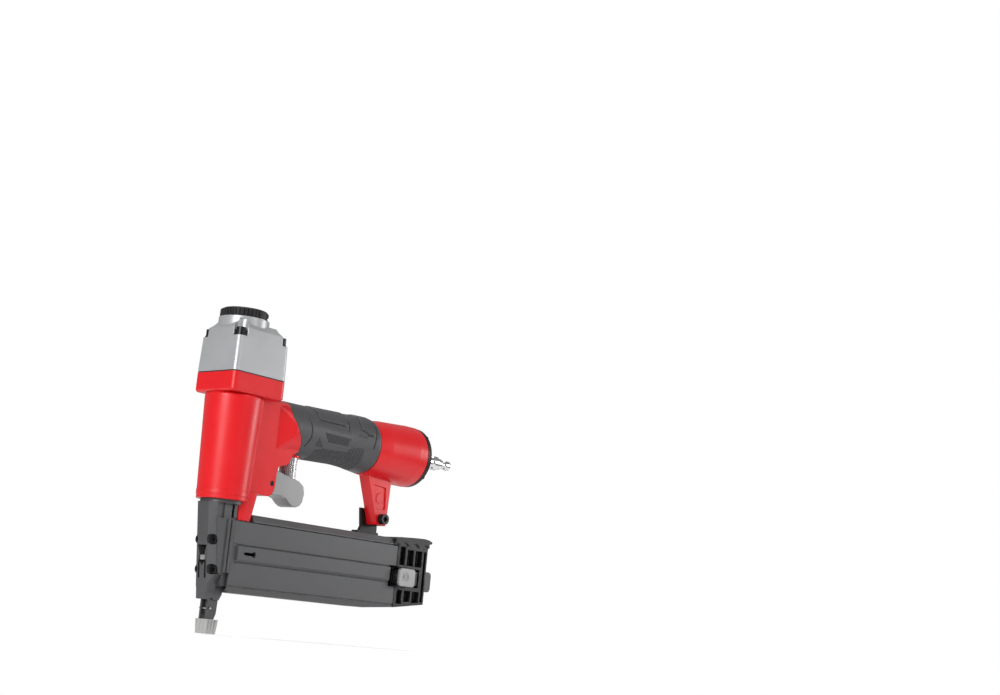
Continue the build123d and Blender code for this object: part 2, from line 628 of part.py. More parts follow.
def make_nose_body():
    """Rear half of the nose: drive channel, feed slot, side plates with ribs, spigot and guide."""
    with BuildPart() as nose_body:
        with BuildSketch(Plane.XZ):
            outline((-CHANNEL_X, 34.5), (BLOCK_BACK_X, 34.5), (BLOCK_BACK_X, NOSE_TOP_Z), (-CHANNEL_X, NOSE_TOP_Z))
        extrude(amount=10.8, both=True)
        # Mounting plate and spigot under the housing
        with BuildSketch(Plane.XY.offset(NOSE_TOP_Z)):
            Circle(15.6)
        extrude(amount=HOUSING_BOTTOM_Z - NOSE_TOP_Z)
        with BuildSketch(Plane.XY.offset(HOUSING_BOTTOM_Z)):
            Circle(8.0)
        extrude(amount=FLOOR_TOP_Z - HOUSING_BOTTOM_Z)
        # Lower nose and the blade guide below it
        with BuildSketch(Plane.XZ):
            outline((-CHANNEL_X, NOSE_BOTTOM_Z), (4.0, NOSE_BOTTOM_Z), (BLOCK_BACK_X, 28.4),
                    (BLOCK_BACK_X, 40), (-CHANNEL_X, 40))
        extrude(amount=5.4, both=True)
        with BuildSketch(Plane.XY.offset(14.0)):
            Rectangle(3.8, 4.4)
        extrude(amount=NOSE_BOTTOM_Z - 14.0)
        # Side plates, then their two upright ribs and the upper tabs
        for side, front in ((-1, -8.2), (1, -12.4)):
            with BuildSketch(Plane.XZ.offset(side * NOSE_HALF)):
                outline((front, 82.3), (2.4, 82.3), (2.4, 44.2), (front / 2, 43.4))
            extrude(amount=side * 2.0)
            with BuildSketch(Plane.XZ.offset(side * 10.0)):
                outline((-2.6, 82.3), (-0.9, 82.3), (-0.9, 44.2), (-2.6, 44.2))
                outline((0.7, 82.3), (2.9, 82.3), (2.9, 44.2), (0.7, 44.2))
            extrude(amount=side * 4.0)
            with BuildSketch(Plane.XZ.offset(side * 10.0)):
                outline((-0.8, 82.0), (2.4, 82.0), (2.4, 44.2), (-0.8, 44.2))
            extrude(amount=side * 1.2)
            with BuildSketch(Plane.XZ.offset(side * NOSE_HALF)):
                outline((-6.2, 82), (0.5, 82), (0.5, NOSE_TOP_Z), (-6.2, NOSE_TOP_Z))
            extrude(amount=side * 1.0)
            with BuildSketch(Plane.XZ.offset(side * 8.0)):
                outline((3.1, 83.4), (5.9, 83.4), (5.9, NOSE_TOP_Z), (3.1, NOSE_TOP_Z))
            extrude(amount=side * 3.6)
        # Gap beside the upper tabs
        for side in (-1, 1):
            with BuildSketch(Plane.XZ.offset(side * 8.4)):
                outline((0.5, 84), (3.1, 84), (3.1, NOSE_TOP_Z), (0.5, NOSE_TOP_Z))
            extrude(amount=side * 6, mode=Mode.SUBTRACT)
        # Seat of the front half over the blade guide's top
        with BuildSketch(Plane.XY.offset(NOSE_BOTTOM_Z)):
            with Locations((-CHANNEL_X - 5, 0)):
                Rectangle(10, 2 * NOSE_HALF)
        extrude(amount=NOSE_TOP_Z - NOSE_BOTTOM_Z, mode=Mode.SUBTRACT)
        # Drive channel from top to bottom, and the nail feed slot
        with BuildSketch(Plane.XY.offset(13)):
            Rectangle(2 * CHANNEL_X, 2 * CHANNEL_Y)
        extrude(amount=90, mode=Mode.SUBTRACT)
        with BuildSketch(Plane.XZ):
            outline((0, 33.4), (8, 33.4), (8, 84.3), (0, 84.3))
        extrude(amount=1.15, both=True, mode=Mode.SUBTRACT)
        # Pockets for the contact arm's legs and its bridge
        for side in (-1, 1):
            with BuildSketch(Plane.XZ.offset(side * (ARM_Y[0] - 0.25))):
                outline((-1, NOSE_BOTTOM_Z - 1), (8, NOSE_BOTTOM_Z - 1), (8, 84.3), (2.7, 84.3), (2.7, 34.6),
                        (-1, 34.6))
            extrude(amount=side * (ARM_Y[1] - ARM_Y[0] + 0.5), mode=Mode.SUBTRACT)
        with BuildSketch(Plane.XZ):
            outline((2.7, 84.2), (9, 84.2), (9, 94.0), (2.7, 94.0))
        extrude(amount=ARM_Y[1] + 0.3, both=True, mode=Mode.SUBTRACT)
        # Link slot through the mounting plate
        with BuildSketch(Plane.XY.offset(NOSE_TOP_Z - 1)):
            with Locations((12, 0)):
                Rectangle(18, 2 * LINK_HALF + 0.8)
        extrude(amount=5, mode=Mode.SUBTRACT)
        # Room for the lug of the housing
        with BuildSketch(Plane.XY.offset(NOSE_TOP_Z - 0.2)):
            with Locations((15.9, 0)):
                Rectangle(20, 40)
        extrude(amount=HOUSING_BOTTOM_Z - NOSE_TOP_Z + 0.4, mode=Mode.SUBTRACT)
        # Tapped holes of the nose bolts, and relief for their heads
        for z, floor_x in NOSE_BOLTS:
            for y in (-NOSE_BOLT_Y, NOSE_BOLT_Y):
                with BuildSketch(Plane.YZ.offset(-CHANNEL_X)):
                    with Locations((y, z)):
                        Circle(2.0)
                extrude(amount=6, mode=Mode.SUBTRACT)
                with BuildSketch(Plane.YZ.offset(-25)):
                    with Locations((y, z)):
                        Circle(3.75)
                extrude(amount=25 + floor_x, mode=Mode.SUBTRACT)
        # Holes of the screws that hold the nose from inside the housing
        with BuildSketch(Plane.XY.offset(88)):
            with Locations(*NOSE_MOUNT_SCREWS):
                Circle(1.25)
        extrude(amount=8, mode=Mode.SUBTRACT)
    save(nose_body, "nose_body")
    with BuildPart() as nose_mount_screws:
        for x, y in NOSE_MOUNT_SCREWS:
            with BuildSketch(Plane.XY.offset(88)):
                with Locations((x, y)):
                    Circle(1.25)
            extrude(amount=FLOOR_TOP_Z - 2.0 - 88)
            with BuildSketch(Plane.XY.offset(FLOOR_TOP_Z - 2.0)):
                with Locations((x, y)):
                    Circle(2.3)
            extrude(amount=2.0)
            with BuildSketch(Plane.XY.offset(FLOOR_TOP_Z - 1.2)):
                with Locations((x, y)):
                    RegularPolygon(1.2, 6)
            extrude(amount=1.2, mode=Mode.SUBTRACT)
    save(nose_mount_screws, "nose_mount_screws")


def make_nose_screws():
    """Four socket cap screws that bolt the nose cover to the nose body."""
    with BuildPart() as nose_screws:
        for z, floor_x in NOSE_BOLTS:
            for y in (-NOSE_BOLT_Y, NOSE_BOLT_Y):
                with BuildSketch(Plane.YZ.offset(floor_x)):
                    with Locations((y, z)):
                        Circle(2.0)
                extrude(amount=4.3 - floor_x)
                with BuildSketch(Plane.YZ.offset(floor_x)):
                    with Locations((y, z)):
                        Circle(3.3)
                extrude(amount=-3.0)
                with BuildSketch(Plane.YZ.offset(floor_x - 3.0)):
                    with Locations((y, z)):
                        RegularPolygon(1.7, 6)
                extrude(amount=2.0, mode=Mode.SUBTRACT)
    save(nose_screws, "nose_screws")


def make_depth_stop():
    """Small sliding block in the front slot that sets how deep the nails go."""
    with BuildPart() as depth_stop:
        with BuildSketch(Plane.YZ.offset(-5.9)):
            outline((-2.35, 51.9), (2.35, 51.9), (2.35, 55.3), (-2.35, 55.3))
        extrude(amount=-5.6)
    save(depth_stop, "depth_stop")


def make_contact_parts():
    """Contact arm, its link up to the trigger, their spring and cross pin, and the no-mar tip."""
    top_z = 87.1
    with BuildPart() as contact_arm:
        for side in (-1, 1):
            with BuildSketch(Plane.XZ.offset(side * ARM_Y[0])):
                outline((-4.6, 10.4), (-3.4, 10.4), (-3.4, 4.6), (1.4, 4.6), (1.4, 10.4), (2.2, 10.4),
                        (3.8, 14.4), (4.2, 24.4), (5.6, 28), (5.6, top_z), (3.0, top_z), (3.0, 28), (-4.6, 28))
            extrude(amount=side * (ARM_Y[1] - ARM_Y[0]))
        with BuildSketch(Plane.XZ):
            outline((3.0, 84.6), (5.6, 84.6), (5.6, top_z), (3.0, top_z))
        extrude(amount=ARM_Y[1], both=True)
        with BuildSketch(Plane.XZ):
            with Locations((-3.0, 18.0)):
                Circle(0.85)
        extrude(amount=8, both=True, mode=Mode.SUBTRACT)
    save(contact_arm, "contact_arm")
    with BuildPart() as contact_pin:
        with BuildSketch(Plane.XZ):
            with Locations((-3.0, 18.0)):
                Circle(0.85)
        extrude(amount=5.8, both=True)
    save(contact_pin, "contact_pin")
    with BuildPart() as trip_link:
        with BuildSketch(Plane.XZ):
            outline((5.6, 84.6), (20.2, 84.6), (20.2, 102.8), (30.4, 102.8), (30.4, 104.6), (17.6, 104.6),
                    (17.6, top_z), (5.6, top_z))
        extrude(amount=LINK_HALF, both=True)
    save(trip_link, "trip_link")
    make_coil("contact_arm_spring", Plane(origin=(11.4, 0, top_z)), 2.1, 0.35, 8.2, 4)
    with BuildPart() as no_mar_tip:
        with BuildSketch(Plane.XY):
            with Locations((-0.4, 0)):
                RectangleRounded(10.2, 11.6, 1.2)
        with BuildSketch(Plane.XY.offset(10.4)):
            with Locations((-0.4, 0)):
                RectangleRounded(11.4, 13.0, 1.2)
        loft()
        with BuildSketch(Plane.XY.offset(7.0)):
            Rectangle(4.6, 5.1)
        extrude(amount=4, mode=Mode.SUBTRACT)
        with BuildSketch(Plane.XY):
            Rectangle(3.0, 3.8)
        extrude(amount=8, mode=Mode.SUBTRACT)
        for side in (-1, 1):
            with BuildSketch(Plane.XZ.offset(side * ARM_Y[0])):
                outline((-3.4, 4.6), (1.4, 4.6), (1.4, 10.4), (-3.4, 10.4))
            extrude(amount=side * (ARM_Y[1] - ARM_Y[0]), mode=Mode.SUBTRACT)
        # Moulded grooves down the four sides
        for side in (-1, 1):
            for x in (-3.6, -0.9, 1.8):
                with BuildSketch(Plane.XY.offset(-1)):
                    with Locations((x, side * 6.3)):
                        Circle(0.75)
                extrude(amount=13, mode=Mode.SUBTRACT)
            for y in (-3.4, 0, 3.4):
                with BuildSketch(Plane.XY.offset(-1)):
                    with Locations((-0.4 + side * 5.6, y)):
                        Circle(0.75)
                extrude(amount=13, mode=Mode.SUBTRACT)
    save(no_mar_tip, "no_mar_tip")


def make_trigger_group():
    """Trigger with its pin, the safety lever in it with its pin, and the trigger valve."""
    with BuildPart() as trigger:
        with BuildSketch(Plane.XZ) as side_view:
            outline((30.6, 109.4), (37.2, 105.7), (49.8, 105.8), (55.1, 104.3), (59.0, 101.1), (62.0, 99.5),
                    (65.4, 99.0), (69.2, 100.6), (71.6, 104.0), (72.6, 110.0), (71.2, 115.6), (65.7, 119.0),
                    (51.5, 121.8), (43.6, 124.0), (40.0, 122.0), (36.2, 118.2), (31.0, 117.0))
        extrude(amount=TRIGGER_HALF, both=True)
        with BuildSketch(Plane.XZ):
            outline((28, 100), (44.0, 100), (44.0, 107.8), (69.6, 107.8), (69.6, 126), (28, 126))
        extrude(amount=TRIGGER_INNER, both=True, mode=Mode.SUBTRACT)
        with BuildSketch(Plane.XZ):
            with Locations(TRIGGER_PIVOT):
                Circle(TRIGGER_PIN_R + 0.06)
        extrude(amount=TRIGGER_HALF + 1, both=True, mode=Mode.SUBTRACT)
        with BuildSketch(Plane.XZ):
            with Locations(LEVER_PIVOT):
                Circle(1.2)
        extrude(amount=TRIGGER_INNER + 0.7, both=True, mode=Mode.SUBTRACT)
    save(trigger, "trigger")
    with BuildPart() as trigger_pin:
        with BuildSketch(Plane.XZ):
            with Locations(TRIGGER_PIVOT):
                Circle(TRIGGER_PIN_R)
        extrude(amount=WEB_HALF - 0.3, both=True)
    save(trigger_pin, "trigger_pin")
    with BuildPart() as lever_pin:
        with BuildSketch(Plane.XZ):
            with Locations(LEVER_PIVOT):
                Circle(1.2)
        extrude(amount=TRIGGER_INNER + 0.7, both=True)
    save(lever_pin, "lever_pin")
    with BuildPart() as trigger_lever:
        with BuildSketch(Plane.XZ):
            outline((68.2, 108.3), (68.2, 111.0), (44.0, 110.2), (36.0, 105.4), (32.0, 105.4), (30.8, 107.0),
                    (28.6, 107.0), (28.6, 105.5), (30.9, 105.5), (32.0, 103.8), (36.6, 103.8), (44.6, 108.4))
        extrude(amount=3.0, both=True)
        with BuildSketch(Plane.XZ):
            with Locations(LEVER_PIVOT):
                Circle(1.26)
        extrude(amount=4, both=True, mode=Mode.SUBTRACT)
    save(trigger_lever, "trigger_lever")

    chamber = (121.0, 138.0)
    with BuildPart() as trigger_valve_body:
        with BuildSketch(Plane.XY.offset(VALVE_Z[0])):
            with Locations((VALVE_X, 0)):
                Circle(VALVE_R)
        extrude(amount=BOSS_Z - VALVE_Z[0])
        with BuildSketch(Plane.XY.offset(BOSS_Z)):
            with Locations((VALVE_X, 0)):
                Circle(5.65)
        extrude(amount=VALVE_Z[1] - BOSS_Z)
        with BuildSketch(Plane.XY.offset(chamber[0])):
            with Locations((VALVE_X, 0)):
                Circle(4.2)
        extrude(amount=chamber[1] - chamber[0], mode=Mode.SUBTRACT)
        with BuildSketch(Plane.XY.offset(VALVE_Z[0])):
            with Locations((VALVE_X, 0)):
                Circle(1.68)
        extrude(amount=VALVE_Z[1] - VALVE_Z[0], mode=Mode.SUBTRACT)
        # O-ring groove near the top
        with BuildSketch(Plane.XY.offset(139.0)):
            with Locations((VALVE_X, 0)):
                Circle(7)
                Circle(4.6, mode=Mode.SUBTRACT)
        extrude(amount=1.5, mode=Mode.SUBTRACT)
        # Grip flutes round the visible barrel
        with BuildSketch(Plane.XY.offset(VALVE_Z[0])):
            with Locations((VALVE_X, 0)):
                with PolarLocations(VALVE_R + 0.25, 28):
                    Circle(0.45)
        extrude(amount=17.0, mode=Mode.SUBTRACT)
    save(trigger_valve_body, "trigger_valve_body")
    with BuildPart() as trigger_valve_seals:
        with BuildSketch(Plane.XY.offset(139.05)):
            with Locations((VALVE_X, 0)):
                Circle(5.6)
                Circle(4.6, mode=Mode.SUBTRACT)
        extrude(amount=1.4)
    save(trigger_valve_seals, "trigger_valve_seals")
    with BuildPart() as trigger_valve_stem:
        with BuildSketch(Plane.XY.offset(112.3)):
            with Locations((VALVE_X, 0)):
                Circle(1.6)
        extrude(amount=136.0 - 112.3)
        with BuildSketch(Plane.XY.offset(chamber[0] + 0.3)):
            with Locations((VALVE_X, 0)):
                Circle(3.9)
        extrude(amount=1.6)
    save(trigger_valve_stem, "trigger_valve_stem")
    spring_low = chamber[0] + 1.9
    make_coil("trigger_valve_spring", Plane(origin=(VALVE_X, 0, spring_low)), 2.8, 0.4,
              chamber[1] - spring_low, 5)


def make_handle_grip():
    """Rubber sleeve over the handle tube, slimmer in the middle, its ends cut at a lean."""
    stations = (
        (38, 157.0, 20.7), (60, 156.9, 20.9), (84, 157.6, 20.7), (107, 158.3, 20.7),
        (122, 158.2, 21.6), (136, 157.4, 22.5), (156, 157.2, 22.9),
    )
    with BuildPart() as handle_grip:
        for x, centre_z, radius in stations:
            with BuildSketch(Plane.YZ.offset(x)):
                with Locations((0, centre_z)):
                    Circle(radius)
        loft()
        with BuildSketch(Plane.YZ.offset(40)):
            with Locations((0, HANDLE_Z)):
                Circle(HANDLE_R)
        extrude(amount=120, mode=Mode.SUBTRACT)
        # Leaning front and rear cuts
        with BuildSketch(Plane.XZ):
            outline((35, 120), *GRIP_FRONT, (35, 190))
        extrude(amount=40, both=True, mode=Mode.SUBTRACT)
        with BuildSketch(Plane.XZ):
            outline((170, 120), (GRIP_REAR_X, 120), (GRIP_REAR_X, 190), (170, 190))
        extrude(amount=40, both=True, mode=Mode.SUBTRACT)
        # Relief over the trigger valve's boss
        with BuildSketch(Plane.XY.offset(120)):
            with Locations((VALVE_X, 0)):
                Circle(8.5)
        extrude(amount=26, mode=Mode.SUBTRACT)
    save(handle_grip, "handle_grip")


def make_inlet_parts():
    """Rear cap of the handle, its gasket and screws, and the air plug."""
    gasket_x = BELL_END_X
    plate_x = gasket_x + 0.7
    with BuildPart() as inlet_cap_gasket:
        with BuildSketch(Plane.YZ.offset(gasket_x)):
            with Locations((0, HANDLE_Z)):
                Circle(BELL_R - 0.3)
                Circle(BELL_BORE_R, mode=Mode.SUBTRACT)
                with PolarLocations(22.3, 4, start_angle=45):
                    Circle(1.4, mode=Mode.SUBTRACT)
        extrude(amount=plate_x - gasket_x)
    save(inlet_cap_gasket, "inlet_cap_gasket")
    with BuildPart() as inlet_cap:
        with BuildSketch(Plane.XZ):
            outline(
                (plate_x - 5, HANDLE_Z), (plate_x - 5, HANDLE_Z + BELL_BORE_R - 0.1),
                (plate_x, HANDLE_Z + BELL_BORE_R - 0.1), (plate_x, HANDLE_Z + BELL_R - 0.4),
                (plate_x + 2.8, HANDLE_Z + BELL_R - 0.4), (plate_x + 4.0, HANDLE_Z + BELL_R - 1.6),
                (plate_x + 4.0, HANDLE_Z + 15.5), (plate_x + 6.0, HANDLE_Z + 14.0), (plate_x + 6.0, HANDLE_Z + 11.0),
                (plate_x + 10.0, HANDLE_Z + 10.0), (plate_x + 10.0, HANDLE_Z),
            )
        revolve(axis=HANDLE_AXIS)
        with BuildSketch(Plane.YZ.offset(plate_x - 6)):
            with Locations((0, HANDLE_Z)):
                Circle(6.4)
        extrude(amount=20, mode=Mode.SUBTRACT)
        with BuildSketch(Plane.YZ.offset(plate_x)):
            with Locations((0, HANDLE_Z)):
                with PolarLocations(22.3, 4, start_angle=45):
                    Circle(1.4)
        extrude(amount=5, mode=Mode.SUBTRACT)
        with BuildSketch(Plane.YZ.offset(plate_x + 2.4)):
            with Locations((0, HANDLE_Z)):
                with PolarLocations(22.3, 4, start_angle=45):
                    Circle(2.3)
        extrude(amount=3, mode=Mode.SUBTRACT)
    save(inlet_cap, "inlet_cap")
    with BuildPart() as inlet_cap_screws:
        for corner in range(4):
            angle = radians(45 + 90 * corner)
            centre = (22.3 * cos(angle), HANDLE_Z + 22.3 * sin(angle))
            with BuildSketch(Plane.YZ.offset(BELL_END_X - 8)):
                with Locations(centre):
                    Circle(1.2)
            extrude(amount=plate_x + 2.4 - BELL_END_X + 8)
            with BuildSketch(Plane.YZ.offset(plate_x + 2.4)):
                with Locations(centre):
                    Circle(2.2)
            extrude(amount=1.5)
            with BuildSketch(Plane.YZ.offset(plate_x + 3.1)):
                with Locations(centre):
                    RegularPolygon(1.1, 6)
            extrude(amount=1, mode=Mode.SUBTRACT)
    save(inlet_cap_screws, "inlet_cap_screws")
    hub_end = plate_x + 10
    with BuildPart() as air_plug:
        with BuildSketch(Plane.XZ):
            outline(
                (hub_end - 11, HANDLE_Z + 3.0), (hub_end - 11, HANDLE_Z + 6.4), (hub_end, HANDLE_Z + 6.4),
                (hub_end, HANDLE_Z + 6.8), (hub_end + 7, HANDLE_Z + 6.8), (hub_end + 7, HANDLE_Z + 5.0),
                (219.5, HANDLE_Z + 5.0), (221.0, HANDLE_Z + 5.95), (226.5, HANDLE_Z + 5.95),
                (228.0, HANDLE_Z + 4.6), (231.5, HANDLE_Z + 4.6), (232.5, HANDLE_Z + 2.9),
                (236.0, HANDLE_Z + 2.9), (237.2, HANDLE_Z + 3.95), (242.6, HANDLE_Z + 3.95),
                (243.2, HANDLE_Z + 3.4), (243.2, HANDLE_Z + 2.0), (228, HANDLE_Z + 2.0), (226, HANDLE_Z + 3.0),
            )
        revolve(axis=HANDLE_AXIS)
        with BuildSketch(Plane.YZ.offset(hub_end)):
            with Locations((0, HANDLE_Z)):
                RegularPolygon(8.1, 6)
                Circle(6.0, mode=Mode.SUBTRACT)
        extrude(amount=7)
    save(air_plug, "air_plug")


def make_magazine_rail():
    """Fixed rail: bevelled top, side lips and the guide plate that the nails lean on."""
    with BuildPart() as magazine_rail:
        with BuildSketch(Plane.YZ.offset(BLOCK_BACK_X)):
            outline(
                (-10, RAIL_TOP_Z), (10, RAIL_TOP_Z), (COVER_HALF, RAIL_LEDGE_Z + 0.4),
                (COVER_HALF, RAIL_LEDGE_Z), (11.0, RAIL_LEDGE_Z), (11.0, 74), (9.2, 74), (9.2, 80.6), (4.4, 80.6),
                (4.4, 33.6), (1.4, 33.6), (1.4, 84.4), (-1.4, 84.4), (-1.4, 80.6), (-9.2, 80.6), (-9.2, 74),
                (-11.0, 74), (-11.0, RAIL_LEDGE_Z), (-COVER_HALF, RAIL_LEDGE_Z), (-COVER_HALF, RAIL_LEDGE_Z + 0.4),
            )
        extrude(amount=RAIL_X[1] - BLOCK_BACK_X)
        # The front of the rail is cut down to pass under the housing's lug
        with BuildSketch(Plane.XZ):
            outline((0, RAIL_LEDGE_Z), (RAIL_X[0], RAIL_LEDGE_Z), (RAIL_X[0], 90), (0, 90))
        extrude(amount=20, both=True, mode=Mode.SUBTRACT)
        # Seat of the pusher spring at the rear end
        with BuildSketch(Plane.YZ.offset(RAIL_X[1] - 2)):
            outline((4.0, 50), (11.0, 50), (11.0, 80.8), (4.0, 80.8))
        extrude(amount=2)
        # Long window that the pusher's arm runs in
        with BuildSketch(Plane.XZ):
            outline((8.0, 56.0), (166.0, 56.0), (166.0, 60.0), (8.0, 60.0))
        extrude(amount=-5.0, mode=Mode.SUBTRACT)
        # Counterbored holes of the bracket screws
        with BuildSketch(Plane.XY.offset(80)):
            with Locations(*BRACKET_SCREWS):
                Circle(1.5)
        extrude(amount=10, mode=Mode.SUBTRACT)
        with BuildSketch(Plane.XY.offset(80)):
            with Locations(*BRACKET_SCREWS):
                Circle(2.9)
        extrude(amount=2.8, mode=Mode.SUBTRACT)
    save(magazine_rail, "magazine_rail")


def make_magazine_cover():
    """Sliding channel round the rail, with a raised band on each side and a bevelled bottom."""
    wall = 1.8
    inner = COVER_HALF - wall
    groove = COVER_HALF - 0.8
    with BuildPart() as magazine_cover:
        with BuildSketch(Plane.YZ.offset(COVER_X[0])):
            outline(
                (-COVER_HALF, COVER_TOP_Z), (-COVER_HALF, 65.4), (-groove, 65.2), (-groove, 64.6),
                (-BAND_HALF, 64.2), (-BAND_HALF, 54.6), (-groove, 52.2), (-COVER_HALF, 51.8),
                (-COVER_HALF, 35.4), (-groove, 35.2), (-groove, 34.3),
                (-COVER_HALF, 34.1), (-10, COVER_BOTTOM_Z),
                (10, COVER_BOTTOM_Z), (COVER_HALF, 34.1), (groove, 34.3), (groove, 35.2),
                (COVER_HALF, 35.4), (COVER_HALF, 51.8), (groove, 52.2), (BAND_HALF, 54.6), (BAND_HALF, 64.2),
                (groove, 64.6), (groove, 65.2), (COVER_HALF, 65.4), (COVER_HALF, COVER_TOP_Z),
                (inner, COVER_TOP_Z), (inner, 33.0), (-inner, 33.0), (-inner, COVER_TOP_Z),
            )
            outline((-4.4, 32.6), (-1.4, 32.6), (-1.4, 79.6), (-4.4, 79.6))
        extrude(amount=COVER_X[1] - COVER_X[0])
        # Room for the nose at the front
        with BuildSketch(Plane.XZ):
            outline((0, 20), (6.8, 20), (6.8, 84), (0, 84))
        extrude(amount=11.2, both=True, mode=Mode.SUBTRACT)
        # Front end of the raised bands
        for side in (-1, 1):
            with BuildSketch(Plane.XZ.offset(side * (COVER_HALF - 0.5))):
                outline((0, 51), (8.6, 51), (8.6, 66), (0, 66))
            extrude(amount=side * 4, mode=Mode.SUBTRACT)
        # Rising lower edge at the rear
        with BuildSketch(Plane.XZ):
            outline((146, 28), (146, COVER_BOTTOM_Z), (COVER_X[1], COVER_BOTTOM_Z + 2.6), (COVER_X[1], 28))
        extrude(amount=20, both=True, mode=Mode.SUBTRACT)
        # Sight slot at the front of the near band, through to the nails
        with BuildSketch(Plane.XZ):
            with Locations((19.0, 59.0)):
                SlotOverall(9.0, 2.2)
            with Locations((24.0, 59.0)):
                Circle(2.1)
        extrude(amount=20, mode=Mode.SUBTRACT)
        # Cut-out for the latch spring
        with BuildSketch(Plane.XZ.offset(5)):
            with Locations((LATCH_X - 3, LATCH_Z)):
                Rectangle(21, 16.6)
        extrude(amount=15, mode=Mode.SUBTRACT)
    save(magazine_cover, "magazine_cover")


def make_pusher_parts():
    """Nail pusher and its long spring."""
    with BuildPart() as pusher:
        with BuildSketch(Plane.XZ):
            outline((7.2, 36), (24, 36), (24, 79), (7.2, 79))
        extrude(amount=1.05, both=True)
        with BuildSketch(Plane.XZ):
            outline((14, 56.4), (24, 56.4), (24, 59.6), (14, 59.6))
        extrude(amount=-10.4)
        with BuildSketch(Plane.XZ.offset(-5.0)):
            outline((14, 54.5), (24, 54.5), (24, 61.5), (14, 61.5))
        extrude(amount=-5.6)
    save(pusher, "pusher")
    base = Plane(origin=(24.0, 7.8, 58.0), z_dir=(1, 0, 0))
    make_coil("pusher_spring", base, 2.3, 0.35, RAIL_X[1] - 2 - 24.0, 26)


def make_magazine_tail():
    """Black end cap of the sliding magazine, its latch with spring, and the pull tab."""
    low_front = COVER_BOTTOM_Z + 2.6
    low_rear = 37.4
    with BuildPart() as magazine_end_cap:
        with BuildSketch(Plane.XZ):
            outline((COVER_X[1], low_front), (TAIL_X, low_rear), (TAIL_X, 83), (COVER_X[1], 83))
        extrude(amount=14.0, both=True)
        # Spigots that snap into the rear end of the cover
        for side in (-1, 1):
            with BuildSketch(Plane.XZ.offset(side * 6.0)):
                outline((169, 33.1), (COVER_X[1], 33.1), (COVER_X[1], 46), (169, 46))
            extrude(amount=side * 5.4)
        # Top lip, standing over the sides and the rear, with a scalloped skirt
        with BuildSketch(Plane.XZ):
            outline((172.9, 87.3), (175, 88.4), (179.2, 89.3), (196, 90.3), (207, 90.7), (212, 90.2),
                    (216.4, 88.9), (216.2, 87.3), (213.4, 86.6), (213.4, 82.8), (173.2, 82.8), (173.2, 85.9))
        extrude(amount=15.2, both=True)
        for side in (-1, 1):
            with BuildSketch(Plane.XZ.offset(side * 15.2)):
                for x in (184.2, 196.8, 209.0):
                    with Locations((x, 80.0)):
                        Circle(5.6)
                outline((173, 80), (178.0, 80), (178.0, 84), (173, 84))
            extrude(amount=-side * 1.2, mode=Mode.SUBTRACT)
        # Open pockets with upright ribs, above and below the latch, on both sides
        for side in (-1, 1):
            with BuildSketch(Plane.XZ.offset(side * 14.0)):
                for x_low, x_high in ((188.8, 196.8), (198.4, 207.0)):
                    outline((x_low, 67.0), (x_high, 67.0), (x_high, 80.2), (x_low, 80.2))
                    outline((x_low, 37.6), (x_high, 38.4), (x_high, 47.2), (x_low, 47.2))
                outline((208.6, 39.0), (211.8, 39.2), (211.8, 80.2), (208.6, 80.2))
                outline((COVER_X[1] + 2, 67), (186.8, 67), (186.8, 82), (COVER_X[1] + 2, 82))
                outline((COVER_X[1] + 2, 36), (186.8, 36), (186.8, 47.2), (COVER_X[1] + 2, 47.2))
            extrude(amount=-side * 5.5, mode=Mode.SUBTRACT)
        # Latch bay on the near side
        with BuildSketch(Plane.XZ.offset(8.8)):
            outline((170, 50.0), (205.0, 50.0), (205.0, 64.8), (170, 64.8))
        extrude(amount=6, mode=Mode.SUBTRACT)
        # Guide ribs above and below the bay
        with BuildSketch(Plane.XZ.offset(14.0)):
            outline((178, 64.8), (203, 64.8), (203, 66.4), (178, 66.4))
            outline((178, 48.4), (190, 48.4), (190, 50.0), (178, 50.0))
        extrude(amount=2.0)
        # Upright strip behind the button
        with BuildSketch(Plane.XZ.offset(8.8)):
            outline((199.2, 52.0), (202.4, 52.0), (202.4, 63.0), (199.2, 63.0))
        extrude(amount=5.6)
        # Hole for the latch post
        with BuildSketch(Plane.XZ.offset(2)):
            with Locations((LATCH_X, LATCH_Z)):
                Circle(2.7)
        extrude(amount=10, mode=Mode.SUBTRACT)
    save(magazine_end_cap, "magazine_end_cap")
    with BuildPart() as latch_button:
        with BuildSketch(Plane.XZ.offset(17.6)):
            with Locations((LATCH_X + 1.7, LATCH_Z - 0.3)):
                RectangleRounded(18.6, 14.4, 3.0)
        extrude(amount=2.2)
        with BuildSketch(Plane.XZ.offset(6.5)):
            with Locations((LATCH_X, LATCH_Z)):
                Circle(2.4)
        extrude(amount=17.6 - 6.5)
        for radius in (3.4, 1.9):
            with BuildSketch(Plane.XZ.offset(19.5)):
                with Locations((LATCH_X, LATCH_Z)):
                    Circle(radius)
                    Circle(radius - 0.6, mode=Mode.SUBTRACT)
            extrude(amount=0.3, mode=Mode.SUBTRACT)
    save(latch_button, "latch_button")
    make_coil("latch_spring", Plane(origin=(LATCH_X, -17.6, LATCH_Z), z_dir=(0, 1, 0)), 6.6, 0.7, 8.8, 3)
    with BuildPart() as pull_tab:
        with BuildSketch(Plane.XZ):
            with Locations((TAIL_X + 5.6, 56.2)):
                RectangleRounded(11.2, 16.4, 3.4)
        extrude(amount=10.0, both=True)
        with BuildSketch(Plane.XZ):
            outline((TAIL_X - 5, 40), (TAIL_X, 40), (TAIL_X, 70), (TAIL_X - 5, 70))
        extrude(amount=14.0, both=True, mode=Mode.SUBTRACT)
    save(pull_tab, "pull_tab")


